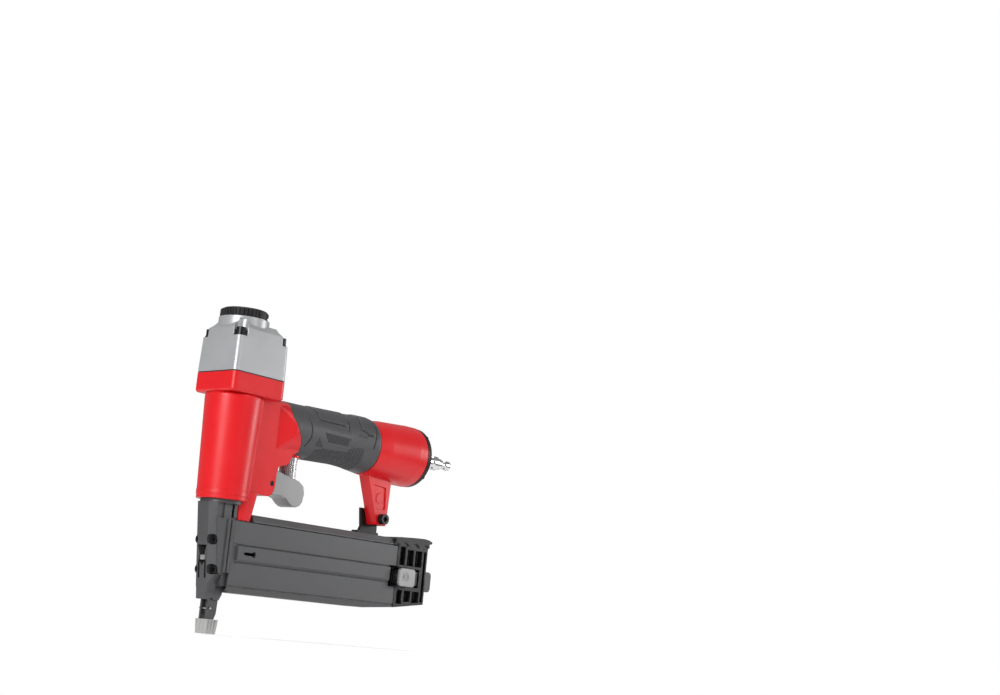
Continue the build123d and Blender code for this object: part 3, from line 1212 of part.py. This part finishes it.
def make_bracket_parts():
    """Steel angle from the rail up the far side of the rear leg, with its screws, bolt and nut."""
    bolt = (162.6, 101.6)
    ear_y = (LEG_HALF, LEG_HALF + 2.6)
    with BuildPart() as magazine_bracket:
        with BuildSketch(Plane.XZ.offset(-ear_y[0])):
            outline((147.0, RAIL_TOP_Z), (170.0, RAIL_TOP_Z), (169.6, 97), (168.6, 106.4), (165.0, 109.4),
                    (149.4, 109.4), (151.6, 95.0), (150.0, 91.4), (147.0, 90.6))
            with Locations(bolt):
                Circle(2.6, mode=Mode.SUBTRACT)
        extrude(amount=ear_y[0] - ear_y[1])
        with BuildSketch(Plane.XZ.offset(-3.4)):
            outline((145.6, RAIL_TOP_Z), (170.0, RAIL_TOP_Z), (170.0, 91.0), (145.6, 91.0))
        extrude(amount=-6.4)
        with BuildSketch(Plane.XY.offset(RAIL_TOP_Z - 1)):
            with Locations(*BRACKET_SCREWS):
                Circle(1.5)
        extrude(amount=4.0, mode=Mode.SUBTRACT)
    save(magazine_bracket, "magazine_bracket")
    with BuildPart() as bracket_screws:
        for x, y in BRACKET_SCREWS:
            with BuildSketch(Plane.XY.offset(82.8)):
                with Locations((x, y)):
                    Circle(1.5)
            extrude(amount=8.0)
            with BuildSketch(Plane.XY.offset(80.9)):
                with Locations((x, y)):
                    Circle(2.8)
            extrude(amount=1.9)
            with BuildSketch(Plane.XY.offset(80.9)):
                with Locations((x, y)):
                    RegularPolygon(1.3, 6)
            extrude(amount=1.2, mode=Mode.SUBTRACT)
    save(bracket_screws, "bracket_screws")
    with BuildPart() as bracket_bolt:
        with BuildSketch(Plane.XZ.offset(-ear_y[1] - 4.6)):
            with Locations(bolt):
                Circle(2.5)
        extrude(amount=LEG_HALF + ear_y[1] + 4.6)
        with BuildSketch(Plane.XZ.offset(LEG_HALF)):
            with Locations(bolt):
                Circle(4.2)
        extrude(amount=5.0)
        with BuildSketch(Plane.XZ.offset(LEG_HALF + 2.2)):
            with Locations(bolt):
                RegularPolygon(2.3, 6)
        extrude(amount=2.8, mode=Mode.SUBTRACT)
    save(bracket_bolt, "bracket_bolt")
    with BuildPart() as bracket_nut:
        with BuildSketch(Plane.XZ.offset(-ear_y[1])):
            with Locations(bolt):
                RegularPolygon(4.6, 6)
                Circle(2.5, mode=Mode.SUBTRACT)
        extrude(amount=-4.0)
    save(bracket_nut, "bracket_nut")


make_main_housing()
make_head_cap()
make_cap_gasket()
make_cap_screws()
make_exhaust_deflector()
make_deflector_screw()
make_deflector_seal()
make_cylinder_sleeve()
make_cylinder_seals()
make_head_valve()
make_drive_line()
make_nose_cover()
make_nose_body()
make_nose_screws()
make_depth_stop()
make_contact_parts()
make_trigger_group()
make_handle_grip()
make_inlet_parts()
make_magazine_rail()
make_magazine_cover()
make_pusher_parts()
make_magazine_tail()
make_bracket_parts()
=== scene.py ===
"""Looks of the pneumatic brad nailer: camera, light, materials and the pieces finer than the frame's."""

import json
from math import cos, pi, radians, sin

import bmesh
import bpy
import numpy as np
from mathutils import Matrix, Vector


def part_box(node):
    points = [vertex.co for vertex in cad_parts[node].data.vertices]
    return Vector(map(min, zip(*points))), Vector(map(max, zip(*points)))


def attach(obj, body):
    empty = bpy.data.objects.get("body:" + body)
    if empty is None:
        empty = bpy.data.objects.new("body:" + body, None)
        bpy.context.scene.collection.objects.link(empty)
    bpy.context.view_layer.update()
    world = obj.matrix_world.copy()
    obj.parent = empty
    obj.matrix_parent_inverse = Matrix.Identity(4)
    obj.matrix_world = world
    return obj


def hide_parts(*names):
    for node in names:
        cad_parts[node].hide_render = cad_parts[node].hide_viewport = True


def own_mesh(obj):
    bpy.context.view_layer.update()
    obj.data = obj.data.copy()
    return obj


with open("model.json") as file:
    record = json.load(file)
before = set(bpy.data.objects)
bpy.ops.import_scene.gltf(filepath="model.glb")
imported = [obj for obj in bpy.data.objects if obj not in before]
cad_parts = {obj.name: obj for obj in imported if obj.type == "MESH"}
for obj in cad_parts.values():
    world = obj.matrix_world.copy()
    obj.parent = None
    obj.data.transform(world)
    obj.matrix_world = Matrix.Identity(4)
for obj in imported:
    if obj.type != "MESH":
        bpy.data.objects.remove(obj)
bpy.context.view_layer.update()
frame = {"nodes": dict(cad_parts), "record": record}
NODES = frame["nodes"]
SLOTS = {part["node"]: part["material_slot"] for part in frame["record"]["subparts"]}
MM = 0.001


# ---------------------------------------------------------------- camera, light, floor

CAMERA_AZIMUTH = -42.405
CAMERA_ELEVATION = -5.4
CAMERA_ROLL = 6.282
CAMERA_DISTANCE = 1.160841
CAMERA_LENS = 54.1
CAMERA_SENSOR = 36.0
NEAR_CLIP = 0.005
TARGET = Vector((0.060, 0.0, 0.120))
TARGET_IN_VIEW = (-0.2139, -0.1314)
BACKDROP = 1.0
AMBIENT = 0.34
WHITE = (1, 1, 1, 1)
FLOOR_HALF = 0.5
FLOOR_DROP = 0.0004
FLOOR_GLOW = 0.3
# Name, place, side in metres and watts
SOFTBOXES = (
    ("left", (-1.15, -0.30, 0.50), 0.45, 12),
    ("front", (0.25, -1.35, 0.85), 0.6, 4.8),
    ("right", (1.1, -0.60, 0.35), 0.4, 4.4),
    ("top", (0.2, 0.3, 1.3), 0.6, 5),
)


def make_camera():
    """Camera that sees the target off-centre, at a share of the picture's width."""
    az, el, roll = map(radians, (CAMERA_AZIMUTH, CAMERA_ELEVATION, CAMERA_ROLL))
    back = Vector((sin(az) * cos(el), -cos(az) * cos(el), sin(el)))
    right = (-back).cross(Vector((0, 0, 1))).normalized()
    up = right.cross(-back)
    right, up = cos(roll) * right + sin(roll) * up, cos(roll) * up - sin(roll) * right
    facing = Matrix((right, up, back)).transposed()
    aim = Vector((*TARGET_IN_VIEW, -CAMERA_LENS / CAMERA_SENSOR)).normalized()
    turn = Vector((0, 0, -1)).rotation_difference(aim).to_matrix().transposed()
    data = bpy.data.cameras.new("camera")
    data.lens = CAMERA_LENS
    data.sensor_width = CAMERA_SENSOR
    data.clip_start = NEAR_CLIP
    camera = bpy.data.objects.new("camera", data)
    place = Matrix.Translation(TARGET + back * CAMERA_DISTANCE)
    camera.matrix_world = place @ (facing @ turn).to_4x4()
    bpy.context.scene.collection.objects.link(camera)
    bpy.context.scene.camera = camera


def area_light(name, place, size, power):
    """Soft square light that faces the middle of the tool."""
    data = bpy.data.lights.new(name, "AREA")
    data.size = size
    data.energy = power
    light = bpy.data.objects.new(name, data)
    light.location = place
    light.rotation_mode = "QUATERNION"
    light.rotation_quaternion = (TARGET - Vector(place)).to_track_quat("-Z", "Y")
    bpy.context.scene.collection.objects.link(light)


def make_world():
    """White backdrop for the camera, and grey surroundings that light the tool."""
    world = bpy.data.worlds.new("studio")
    world.use_nodes = True
    tree = world.node_tree
    background = tree.nodes["Background"]
    backdrop = tree.nodes.new("ShaderNodeBackground")
    for node, strength in ((backdrop, BACKDROP), (background, AMBIENT)):
        node.inputs["Color"].default_value = WHITE
        node.inputs["Strength"].default_value = strength
    rays = tree.nodes.new("ShaderNodeLightPath")
    choose = tree.nodes.new("ShaderNodeMixShader")
    tree.links.new(rays.outputs["Is Camera Ray"], choose.inputs["Fac"])
    tree.links.new(background.outputs[0], choose.inputs[1])
    tree.links.new(backdrop.outputs[0], choose.inputs[2])
    tree.links.new(choose.outputs[0], tree.nodes["World Output"].inputs["Surface"])
    bpy.context.scene.world = world
    bpy.context.scene.view_settings.view_transform = "Standard"


def make_floor():
    """White square floor, slightly lit from within."""
    corners = [(FLOOR_HALF * x, FLOOR_HALF * y, 0) for x, y in ((-1, -1), (1, -1), (1, 1), (-1, 1))]
    mesh = bpy.data.meshes.new("floor")
    mesh.from_pydata(corners, [], [(0, 1, 2, 3)])
    floor = bpy.data.objects.new("floor", mesh)
    floor.location.z = -FLOOR_DROP
    bpy.context.scene.collection.objects.link(floor)
    paper = surface("floor", (0.92, 0.92, 0.92), 0.8, tone=0.01, grain_scale=900, grain=0.02, spec=0.1)
    glow = paper.node_tree.nodes["Principled BSDF"]
    glow.inputs["Emission Color"].default_value = WHITE
    glow.inputs["Emission Strength"].default_value = FLOOR_GLOW
    mesh.materials.append(paper)


# ---------------------------------------------------------------- materials

BROAD_NOISE = 38
WEAR_AND_HIGHLIGHT_NOISE = 260
SPECK_SHARE = 0.4


def surface(name, colour, rough, metallic=0.0, tone=0.08, rough_spread=0.12, grain_scale=1500, grain=0.05,
            dents=0.02, brushed=None, wear_and_highlight=0.0, wear_and_highlight_colour=None, edge=0.0, coat=0.0, coat_rough=0.1,
            see_through=0.0, spec=0.5):
    """Procedural finish: colour drift, uneven gloss, fine grain, faint dents, rounded edges, and edges
    painted lighter: wear on most finishes, a painted highlight on the ribbed plastic.
    """
    mat = bpy.data.materials.new(name)
    mat.use_nodes = True
    tree = mat.node_tree
    shader = tree.nodes["Principled BSDF"]
    link = tree.links.new

    def add(kind, **inputs):
        node = tree.nodes.new(kind)
        for key, value in inputs.items():
            node.inputs[key.replace("_", " ")].default_value = value
        return node

    place = add("ShaderNodeTexCoord")
    source = place.outputs["Object"]
    if brushed:
        stretch = add("ShaderNodeMapping")
        stretch.inputs["Scale"].default_value = brushed
        link(source, stretch.inputs["Vector"])
        grain_source = stretch.outputs["Vector"]
    else:
        grain_source = source

    def noise(scale, detail, vector):
        node = add("ShaderNodeTexNoise", Scale=scale, Detail=detail, Roughness=0.6)
        link(vector, node.inputs["Vector"])
        return node.outputs["Fac"]

    def spread(value, low, high, start=0.3, end=0.7):
        node = add("ShaderNodeMapRange")
        for key, number in (("From Min", start), ("From Max", end), ("To Min", low), ("To Max", high)):
            node.inputs[key].default_value = number
        link(value, node.inputs["Value"])
        return node.outputs["Result"]

    def mix(factor, first, second):
        node = add("ShaderNodeMix")
        node.data_type = "RGBA"
        link(factor, node.inputs[0])
        for socket, value in ((node.inputs[6], first), (node.inputs[7], second)):
            if isinstance(value, tuple):
                socket.default_value = (*value, 1)
            else:
                link(value, socket)
        return node.outputs[2]

    broad = noise(BROAD_NOISE, 4, source)
    fine = noise(grain_scale, 5, grain_source)
    darker = tuple(c * (1 - tone) for c in colour)
    lighter = tuple(min(1, c * (1 + tone)) for c in colour)
    shade = mix(spread(broad, 0, 1), darker, lighter)
    speck = mix(spread(fine, 0, 1, 0.35, 0.65), tuple(c * (1 - tone * 0.6) for c in colour), lighter)
    half = add("ShaderNodeMix")
    half.data_type = "RGBA"
    half.inputs[0].default_value = SPECK_SHARE
    link(shade, half.inputs[6])
    link(speck, half.inputs[7])
    base = half.outputs[2]
    gloss = spread(broad, rough - rough_spread / 2, rough + rough_spread / 2)

    normal = None
    if edge:
        bevel = tree.nodes.new("ShaderNodeBevel")
        bevel.samples = 4
        bevel.inputs["Radius"].default_value = edge * MM
        normal = bevel.outputs["Normal"]
        # Edges painted lighter: edge wear on most finishes, a painted highlight on the ribbed plastic's
        # strips
        if wear_and_highlight:
            geometry = add("ShaderNodeNewGeometry")
            dot = add("ShaderNodeVectorMath")
            dot.operation = "DOT_PRODUCT"
            link(normal, dot.inputs[0])
            link(geometry.outputs["True Normal"], dot.inputs[1])
            wear_and_highlight_edges = spread(dot.outputs["Value"], 1, 0, 0.86, 0.985)
            patchy = spread(noise(WEAR_AND_HIGHLIGHT_NOISE, 6, source), 0, wear_and_highlight, 0.42, 0.6)
            both = add("ShaderNodeMath")
            both.operation = "MULTIPLY"
            link(wear_and_highlight_edges, both.inputs[0])
            link(patchy, both.inputs[1])
            base = mix(both.outputs[0], base, wear_and_highlight_colour or lighter)
    for strength, value, distance in ((dents, broad, 0.4), (grain, fine, 0.06)):
        bump = add("ShaderNodeBump", Strength=min(1.0, strength * 8), Distance=distance * MM)
        link(value, bump.inputs["Height"])
        if normal:
            link(normal, bump.inputs["Normal"])
        normal = bump.outputs["Normal"]
    link(base, shader.inputs["Base Color"])
    link(gloss, shader.inputs["Roughness"])
    link(normal, shader.inputs["Normal"])
    shader.inputs["Metallic"].default_value = metallic
    shader.inputs["Coat Weight"].default_value = coat
    shader.inputs["Coat Roughness"].default_value = coat_rough
    shader.inputs["Transmission Weight"].default_value = see_through
    shader.inputs["Specular IOR Level"].default_value = spec
    return mat


FINISHES = {
    "red_paint": dict(
        colour=(0.61, 0.006, 0.01), rough=0.36, tone=0.05, grain_scale=700, grain=0.05, dents=0.03,
        edge=0.9, wear_and_highlight=0.25, wear_and_highlight_colour=(0.75, 0.04, 0.04), coat=0.08, coat_rough=0.18, spec=0.32),
    "grey_paint": dict(
        colour=(0.38, 0.39, 0.4), rough=0.38, metallic=0.35, tone=0.05, grain_scale=1600, grain=0.08,
        edge=0.8, wear_and_highlight=0.35, wear_and_highlight_colour=(0.62, 0.63, 0.64)),
    "black_plastic": dict(
        colour=(0.01, 0.01, 0.011), rough=0.46, tone=0.2, grain_scale=2200, grain=0.1, edge=0.35,
        wear_and_highlight=0.3, wear_and_highlight_colour=(0.05, 0.05, 0.05), spec=0.2),
    # Its light grey edges, at full strength, are a painted highlight on the strips between the black
    # recesses
    "ribbed_plastic": dict(
        colour=(0.009, 0.009, 0.01), rough=0.44, tone=0.2, grain_scale=2200, grain=0.08, edge=0.9,
        wear_and_highlight=2.0, wear_and_highlight_colour=(0.12, 0.12, 0.125), spec=0.35),
    "rail_steel": dict(
        colour=(0.105, 0.106, 0.11), rough=0.42, metallic=0.3, tone=0.07, grain_scale=1700, grain=0.07,
        edge=0.4, wear_and_highlight=0.6, wear_and_highlight_colour=(0.3, 0.3, 0.3)),
    "grey_plastic": dict(
        colour=(0.058, 0.058, 0.062), rough=0.45, tone=0.1, grain_scale=2000, grain=0.1, edge=0.8,
        wear_and_highlight=0.3, wear_and_highlight_colour=(0.14, 0.14, 0.14)),
    "black_steel": dict(
        colour=(0.014, 0.014, 0.015), rough=0.33, metallic=0.6, tone=0.2, grain_scale=1800, grain=0.05,
        edge=0.3, wear_and_highlight=0.5, wear_and_highlight_colour=(0.14, 0.14, 0.14)),
    "dark_steel": dict(
        colour=(0.068, 0.069, 0.072), rough=0.44, metallic=0.3, tone=0.07, grain_scale=1700, grain=0.07,
        edge=0.5, wear_and_highlight=0.5, wear_and_highlight_colour=(0.25, 0.25, 0.26)),
    "nose_steel": dict(
        colour=(0.066, 0.067, 0.07), rough=0.42, metallic=0.4, tone=0.1, grain_scale=1200, grain=0.1,
        dents=0.04, edge=0.5, wear_and_highlight=0.5, wear_and_highlight_colour=(0.22, 0.22, 0.23)),
    "bright_steel": dict(
        colour=(0.46, 0.46, 0.47), rough=0.26, metallic=1.0, tone=0.06, grain_scale=400,
        brushed=(1, 1, 12), grain=0.06, edge=0.3, wear_and_highlight=0.3, wear_and_highlight_colour=(0.8, 0.8, 0.8)),
    "spring_steel": dict(
        colour=(0.36, 0.36, 0.37), rough=0.28, metallic=1.0, tone=0.1, grain_scale=900, grain=0.04),
    "trigger_metal": dict(
        colour=(0.27, 0.27, 0.275), rough=0.42, metallic=0.3, tone=0.05, grain_scale=1500, grain=0.09,
        edge=1.3, wear_and_highlight=0.3, wear_and_highlight_colour=(0.5, 0.5, 0.5)),
    "alloy": dict(
        colour=(0.62, 0.62, 0.63), rough=0.3, metallic=1.0, tone=0.05, grain_scale=500,
        brushed=(1, 1, 10), grain=0.05, edge=0.3, wear_and_highlight=0.2),
    "chrome_plate": dict(
        colour=(0.62, 0.62, 0.63), rough=0.16, metallic=1.0, tone=0.03, rough_spread=0.06,
        grain_scale=300, grain=0.01, edge=0.2, wear_and_highlight=0.1),
    "grip_rubber": dict(
        colour=(0.052, 0.052, 0.056), rough=0.5, tone=0.12, grain_scale=1900, grain=0.16, dents=0.02,
        spec=0.45),
    "seal_rubber": dict(
        colour=(0.012, 0.012, 0.012), rough=0.5, tone=0.2, grain_scale=1500, grain=0.1),
    "bumper_rubber": dict(
        colour=(0.5, 0.28, 0.07), rough=0.4, tone=0.1, grain_scale=1200, grain=0.05),
    "tip_plastic": dict(
        colour=(0.44, 0.44, 0.43), rough=0.36, tone=0.04, grain_scale=1400, grain=0.06, edge=0.3,
        wear_and_highlight=0.3, wear_and_highlight_colour=(0.8, 0.8, 0.8), see_through=0.25),
}


def make_finishes():
    """One material for each finish of the tool."""
    return {name: surface(name, **look) for name, look in FINISHES.items()}


def dress_frame(finishes):
    """Give every frame node the material of its slot, or a finer one."""
    finer = {
        "nose_cover": "nose_steel", "nose_body": "nose_steel", "contact_arm": "nose_steel",
        "magazine_rail": "rail_steel", "magazine_end_cap": "ribbed_plastic", "latch_button": "trigger_metal",
        "depth_stop": "trigger_metal", "trigger_pin": "black_steel", "latch_spring": "black_steel",
    }
    for name, node in NODES.items():
        chosen = finishes[finer.get(name, SLOTS[name])]
        node.data.materials.clear()
        node.data.materials.append(chosen)


# ---------------------------------------------------------------- rubber grip

# Height and distance back along the front edge, from below to above
GRIP_FRONT = ((120, 57.6), (138, 57.4), (145, 55), (150.4, 52), (158.4, 47), (165, 43.4), (170, 42.2),
              (175, 43.6), (180, 46))
GRIP_REAR_X = 137.4
# Distance back, centre height and radius
GRIP_STATIONS = ((38, 157.0, 20.7), (60, 156.9, 20.9), (84, 157.6, 20.7), (107, 158.3, 20.7),
                 (122, 158.2, 21.6), (136, 157.4, 22.5), (156, 157.2, 22.9))
GRIP_INNER = 17.42
# Points round and along the sleeve, the length of its turned-in ends and how far they turn in
GRIP_AROUND = 420
GRIP_ALONG = 320
TURN_IN_LENGTH = 1.1
TURN_IN_DEPTH = 0.9
VALVE_X = 60.5
VALVE_HOLE_R = 8.7
VALVE_HOLE_LOW = 120
VALVE_HOLE_HIGH = 143
HANDLE_Z = 156.6
# Mean radius, on which the moulded pattern is unrolled
UNROLL_R = 21.0
PANEL_HEIGHT = 0.6
GROOVE_DEPTH = 1.3
RIDGE_HEIGHT = 0.7
RIB_PITCH = 1.95
FINE_RIB_PITCH = 1.9
ZIGZAG_PITCH = 3.4
# Lines moulded into each side: distance back in mm, then degrees down from the top
GRIP_GROOVES = (
    ((60, 60), (62, 84), (62.4, 104), (59, 126)),
    ((69.5, 18), (71, 50), (73, 62), (98, 65)),
    ((105, 14), (103, 50), (102.5, 74)),
    ((117.5, 30), (116, 66), (119.5, 69), (123.5, 76), (128, 75)),
    ((133.5, 14), (133, 54), (131.5, 74), (129, 101)),
)
GRIP_RIDGES = (
    ((65, 52), (69.5, 72), (73, 76), (103.5, 80)),
    ((113.5, 81), (121.5, 83)),
)
GRIP_PANELS = (
    ((69.5, -1), (71, 50), (73, 62), (98, 65), (102.5, 66), (105, -1)),
    ((117.5, -1), (116, 66), (119.5, 69), (123.5, 76), (131.5, 74), (133.5, -1)),
)
GRIP_RIBBED = ((75.5, 88), (104.5, 92), (102.5, 110), (81, 109))
GRIP_SMALL_RIBBED = ((70.5, 100), (78.5, 124), (69, 122))
GRIP_UNDERSIDE = ((69, 181), (71, 130), (78.5, 124), (103.5, 123), (107, 109), (120, 106), (122.5, 131),
                  (125, 181))


def smooth_line(xs, table, column):
    """Read a smooth value from the station table at each x."""
    stations = [row[0] for row in table]
    fine = np.linspace(stations[0], stations[-1], 400)
    values = np.interp(fine, stations, [row[column] for row in table])
    kernel = np.hanning(61)
    padded = np.pad(values, 30, mode="edge")
    return np.interp(xs, fine, np.convolve(padded, kernel / kernel.sum(), mode="valid"))


def distance_to_line(x, s, line):
    """Distance from each point to a polyline, on the unrolled grip."""
    best = np.full(x.shape, 1e9)
    for (ax, a_s), (bx, b_s) in zip(line, line[1:]):
        dx, ds = bx - ax, b_s - a_s
        t = np.clip(((x - ax) * dx + (s - a_s) * ds) / (dx * dx + ds * ds), 0, 1)
        best = np.minimum(best, np.hypot(x - ax - t * dx, s - a_s - t * ds))
    return best


def inside(x, s, corners):
    """True for the points inside a polygon on the unrolled grip."""
    result = np.zeros(x.shape, bool)
    for (ax, a_s), (bx, b_s) in zip(corners, corners[1:] + corners[:1]):
        if a_s == b_s:
            continue
        crosses = ((a_s > s) != (b_s > s)) & (x < (bx - ax) * (s - a_s) / (b_s - a_s) + ax)
        result ^= crosses
    return result


def region(x, s, corners, soft=0.7):
    """1 inside a polygon, falling to 0 over its soft rim."""
    rim = distance_to_line(x, s, corners + corners[:1])
    return np.where(inside(x, s, corners), np.clip(rim / soft, 0, 1), 0.0)


def wave(position, pitch):
    """Ribs across the position: 0 at each whole pitch and 1 half-way."""
    return 0.5 - 0.5 * np.cos(2 * pi * position / pitch)


def grip_relief(x, degrees):
    """Height of the moulded pattern, in mm, at a distance back and an angle down from the top."""
    per_degree = UNROLL_R * pi / 180
    s = np.abs(degrees) * per_degree

    def unrolled(points):
        return tuple((px, angle * per_degree) for px, angle in points)

    height = np.zeros(x.shape)
    for panel in GRIP_PANELS:
        height += PANEL_HEIGHT * region(x, s, unrolled(panel), 1.2)
    for line in GRIP_GROOVES:
        height -= GROOVE_DEPTH * np.clip(1.25 - distance_to_line(x, s, unrolled(line)) / 0.55, 0, 1)
    for line in GRIP_RIDGES:
        height += RIDGE_HEIGHT * np.clip(1.3 - distance_to_line(x, s, unrolled(line)) / 0.9, 0, 1)
    ribs = wave(x, RIB_PITCH)
    height -= region(x, s, unrolled(GRIP_RIBBED), 0.5) * (0.3 + 1.0 * ribs)
    slant = wave(x - 0.15 * s, FINE_RIB_PITCH)
    height -= region(x, s, unrolled(GRIP_SMALL_RIBBED), 0.5) * (0.2 + 0.8 * slant)
    zigzag = np.abs((x / ZIGZAG_PITCH) % 1 - 0.5) * ZIGZAG_PITCH
    chevron = wave(s + zigzag, FINE_RIB_PITCH)
    height -= region(x, s, unrolled(GRIP_UNDERSIDE), 0.6) * (0.15 + 0.75 * chevron)
    return height


def grid_mesh(name, rings):
    """Closed tube through rings of points, the last ring joined back to the first."""
    count, around = rings.shape[0], rings.shape[1]
    index = np.arange(count * around).reshape(count, around)
    nxt = np.roll(index, -1, axis=0)
    corners = [index, nxt, np.roll(nxt, -1, axis=1), np.roll(index, -1, axis=1)]
    faces = np.stack(corners, axis=-1).reshape(-1, 4)
    mesh = bpy.data.meshes.new(name)
    mesh.from_pydata((rings.reshape(-1, 3) * MM).tolist(), [], faces.tolist())
    mesh.validate()
    for face in mesh.polygons:
        face.use_smooth = True
    return mesh


def drill(piece, x, radius, low, high):
    """Cut an upright round hole through the piece on its middle plane; sizes in mm."""
    shape = bmesh.new()
    middle = Matrix.Translation((x * MM, 0, (low + high) / 2 * MM))
    bmesh.ops.create_cone(shape, cap_ends=True, segments=64, radius1=radius * MM, radius2=radius * MM,
                          depth=(high - low) * MM, matrix=middle)
    mesh = bpy.data.meshes.new("drill")
    shape.to_mesh(mesh)
    shape.free()
    cutter = bpy.data.objects.new("drill", mesh)
    bpy.context.scene.collection.objects.link(cutter)
    cut = piece.modifiers.new("hole", "BOOLEAN")
    cut.operation = "DIFFERENCE"
    cut.solver = "EXACT"
    cut.object = cutter
    finished = bpy.data.meshes.new_from_object(piece.evaluated_get(bpy.context.evaluated_depsgraph_get()))
    piece.modifiers.clear()
    piece.data = finished
    bpy.data.objects.remove(cutter)


def make_grip(finishes):
    """Rubber sleeve with its moulded panels, ribs and herringbone underside."""
    angles = np.linspace(0, 2 * pi, GRIP_AROUND, endpoint=False)
    degrees = (np.degrees(angles) + 180) % 360 - 180
    outer = []
    for u in np.linspace(0, 1, GRIP_ALONG):
        x = 50 + 88 * u
        for _ in range(4):
            z = smooth_line(x, GRIP_STATIONS, 1) + smooth_line(x, GRIP_STATIONS, 2) * np.cos(angles)
            front = np.interp(z, *zip(*GRIP_FRONT))
            x = front + (GRIP_REAR_X - front) * u
        radius = smooth_line(x, GRIP_STATIONS, 2) + grip_relief(x, degrees)
        to_edge = np.minimum(x - front, (GRIP_REAR_X - x) * 0.45)
        radius = radius - TURN_IN_DEPTH * np.clip(1 - to_edge / TURN_IN_LENGTH, 0, 1) ** 2
        centre = smooth_line(x, GRIP_STATIONS, 1)
        outer.append(np.stack([x, -radius * np.sin(angles), centre + radius * np.cos(angles)], axis=-1))
    inner = []
    for edge in (outer[-1], outer[0]):
        x = edge[:, 0]
        y, z = -GRIP_INNER * np.sin(angles), HANDLE_Z + GRIP_INNER * np.cos(angles)
        inner.append(np.stack([x, y, z], axis=-1))
    grip = bpy.data.objects.new("rubber_grip", grid_mesh("rubber_grip", np.array(outer + inner)))
    grip.data.materials.append(finishes["grip_rubber"])
    bpy.context.scene.collection.objects.link(grip)
    drill(grip, VALVE_X, VALVE_HOLE_R, VALVE_HOLE_LOW, VALVE_HOLE_HIGH)
    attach(grip, "housing")
    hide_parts("handle_grip")


# ---------------------------------------------------------------- springs

def make_springs():
    """Copy each spring listed under a joint's deforming nodes, hang the copy from its body and hide the
    original; its fixed end is found but not used.
    """
    behaviour = frame["record"]["behaviour"]
    for joint in behaviour["joints"]:
        for entry in joint.get("deforming_nodes", ()):
            name, letter = entry["node"], entry["mode"][-1]
            index = "xyz".index(letter)
            low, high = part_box(name)
            anchor = (low + high) / 2
            anchor[index] = entry[f"fixed_end_{letter}_m"]
            spring = NODES[name].copy()
            spring.data = NODES[name].data.copy()
            spring.name = name + "_coil"
            bpy.context.scene.collection.objects.link(spring)
            body = next(b for b, nodes in behaviour["bodies"].items() if name in nodes)
            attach(spring, body)
            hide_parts(name)
            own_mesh(spring)


# ---------------------------------------------------------------- build

finishes = make_finishes()
make_camera()
make_world()
for softbox in SOFTBOXES:
    area_light(*softbox)
make_floor()
dress_frame(finishes)
make_grip(finishes)
make_springs()
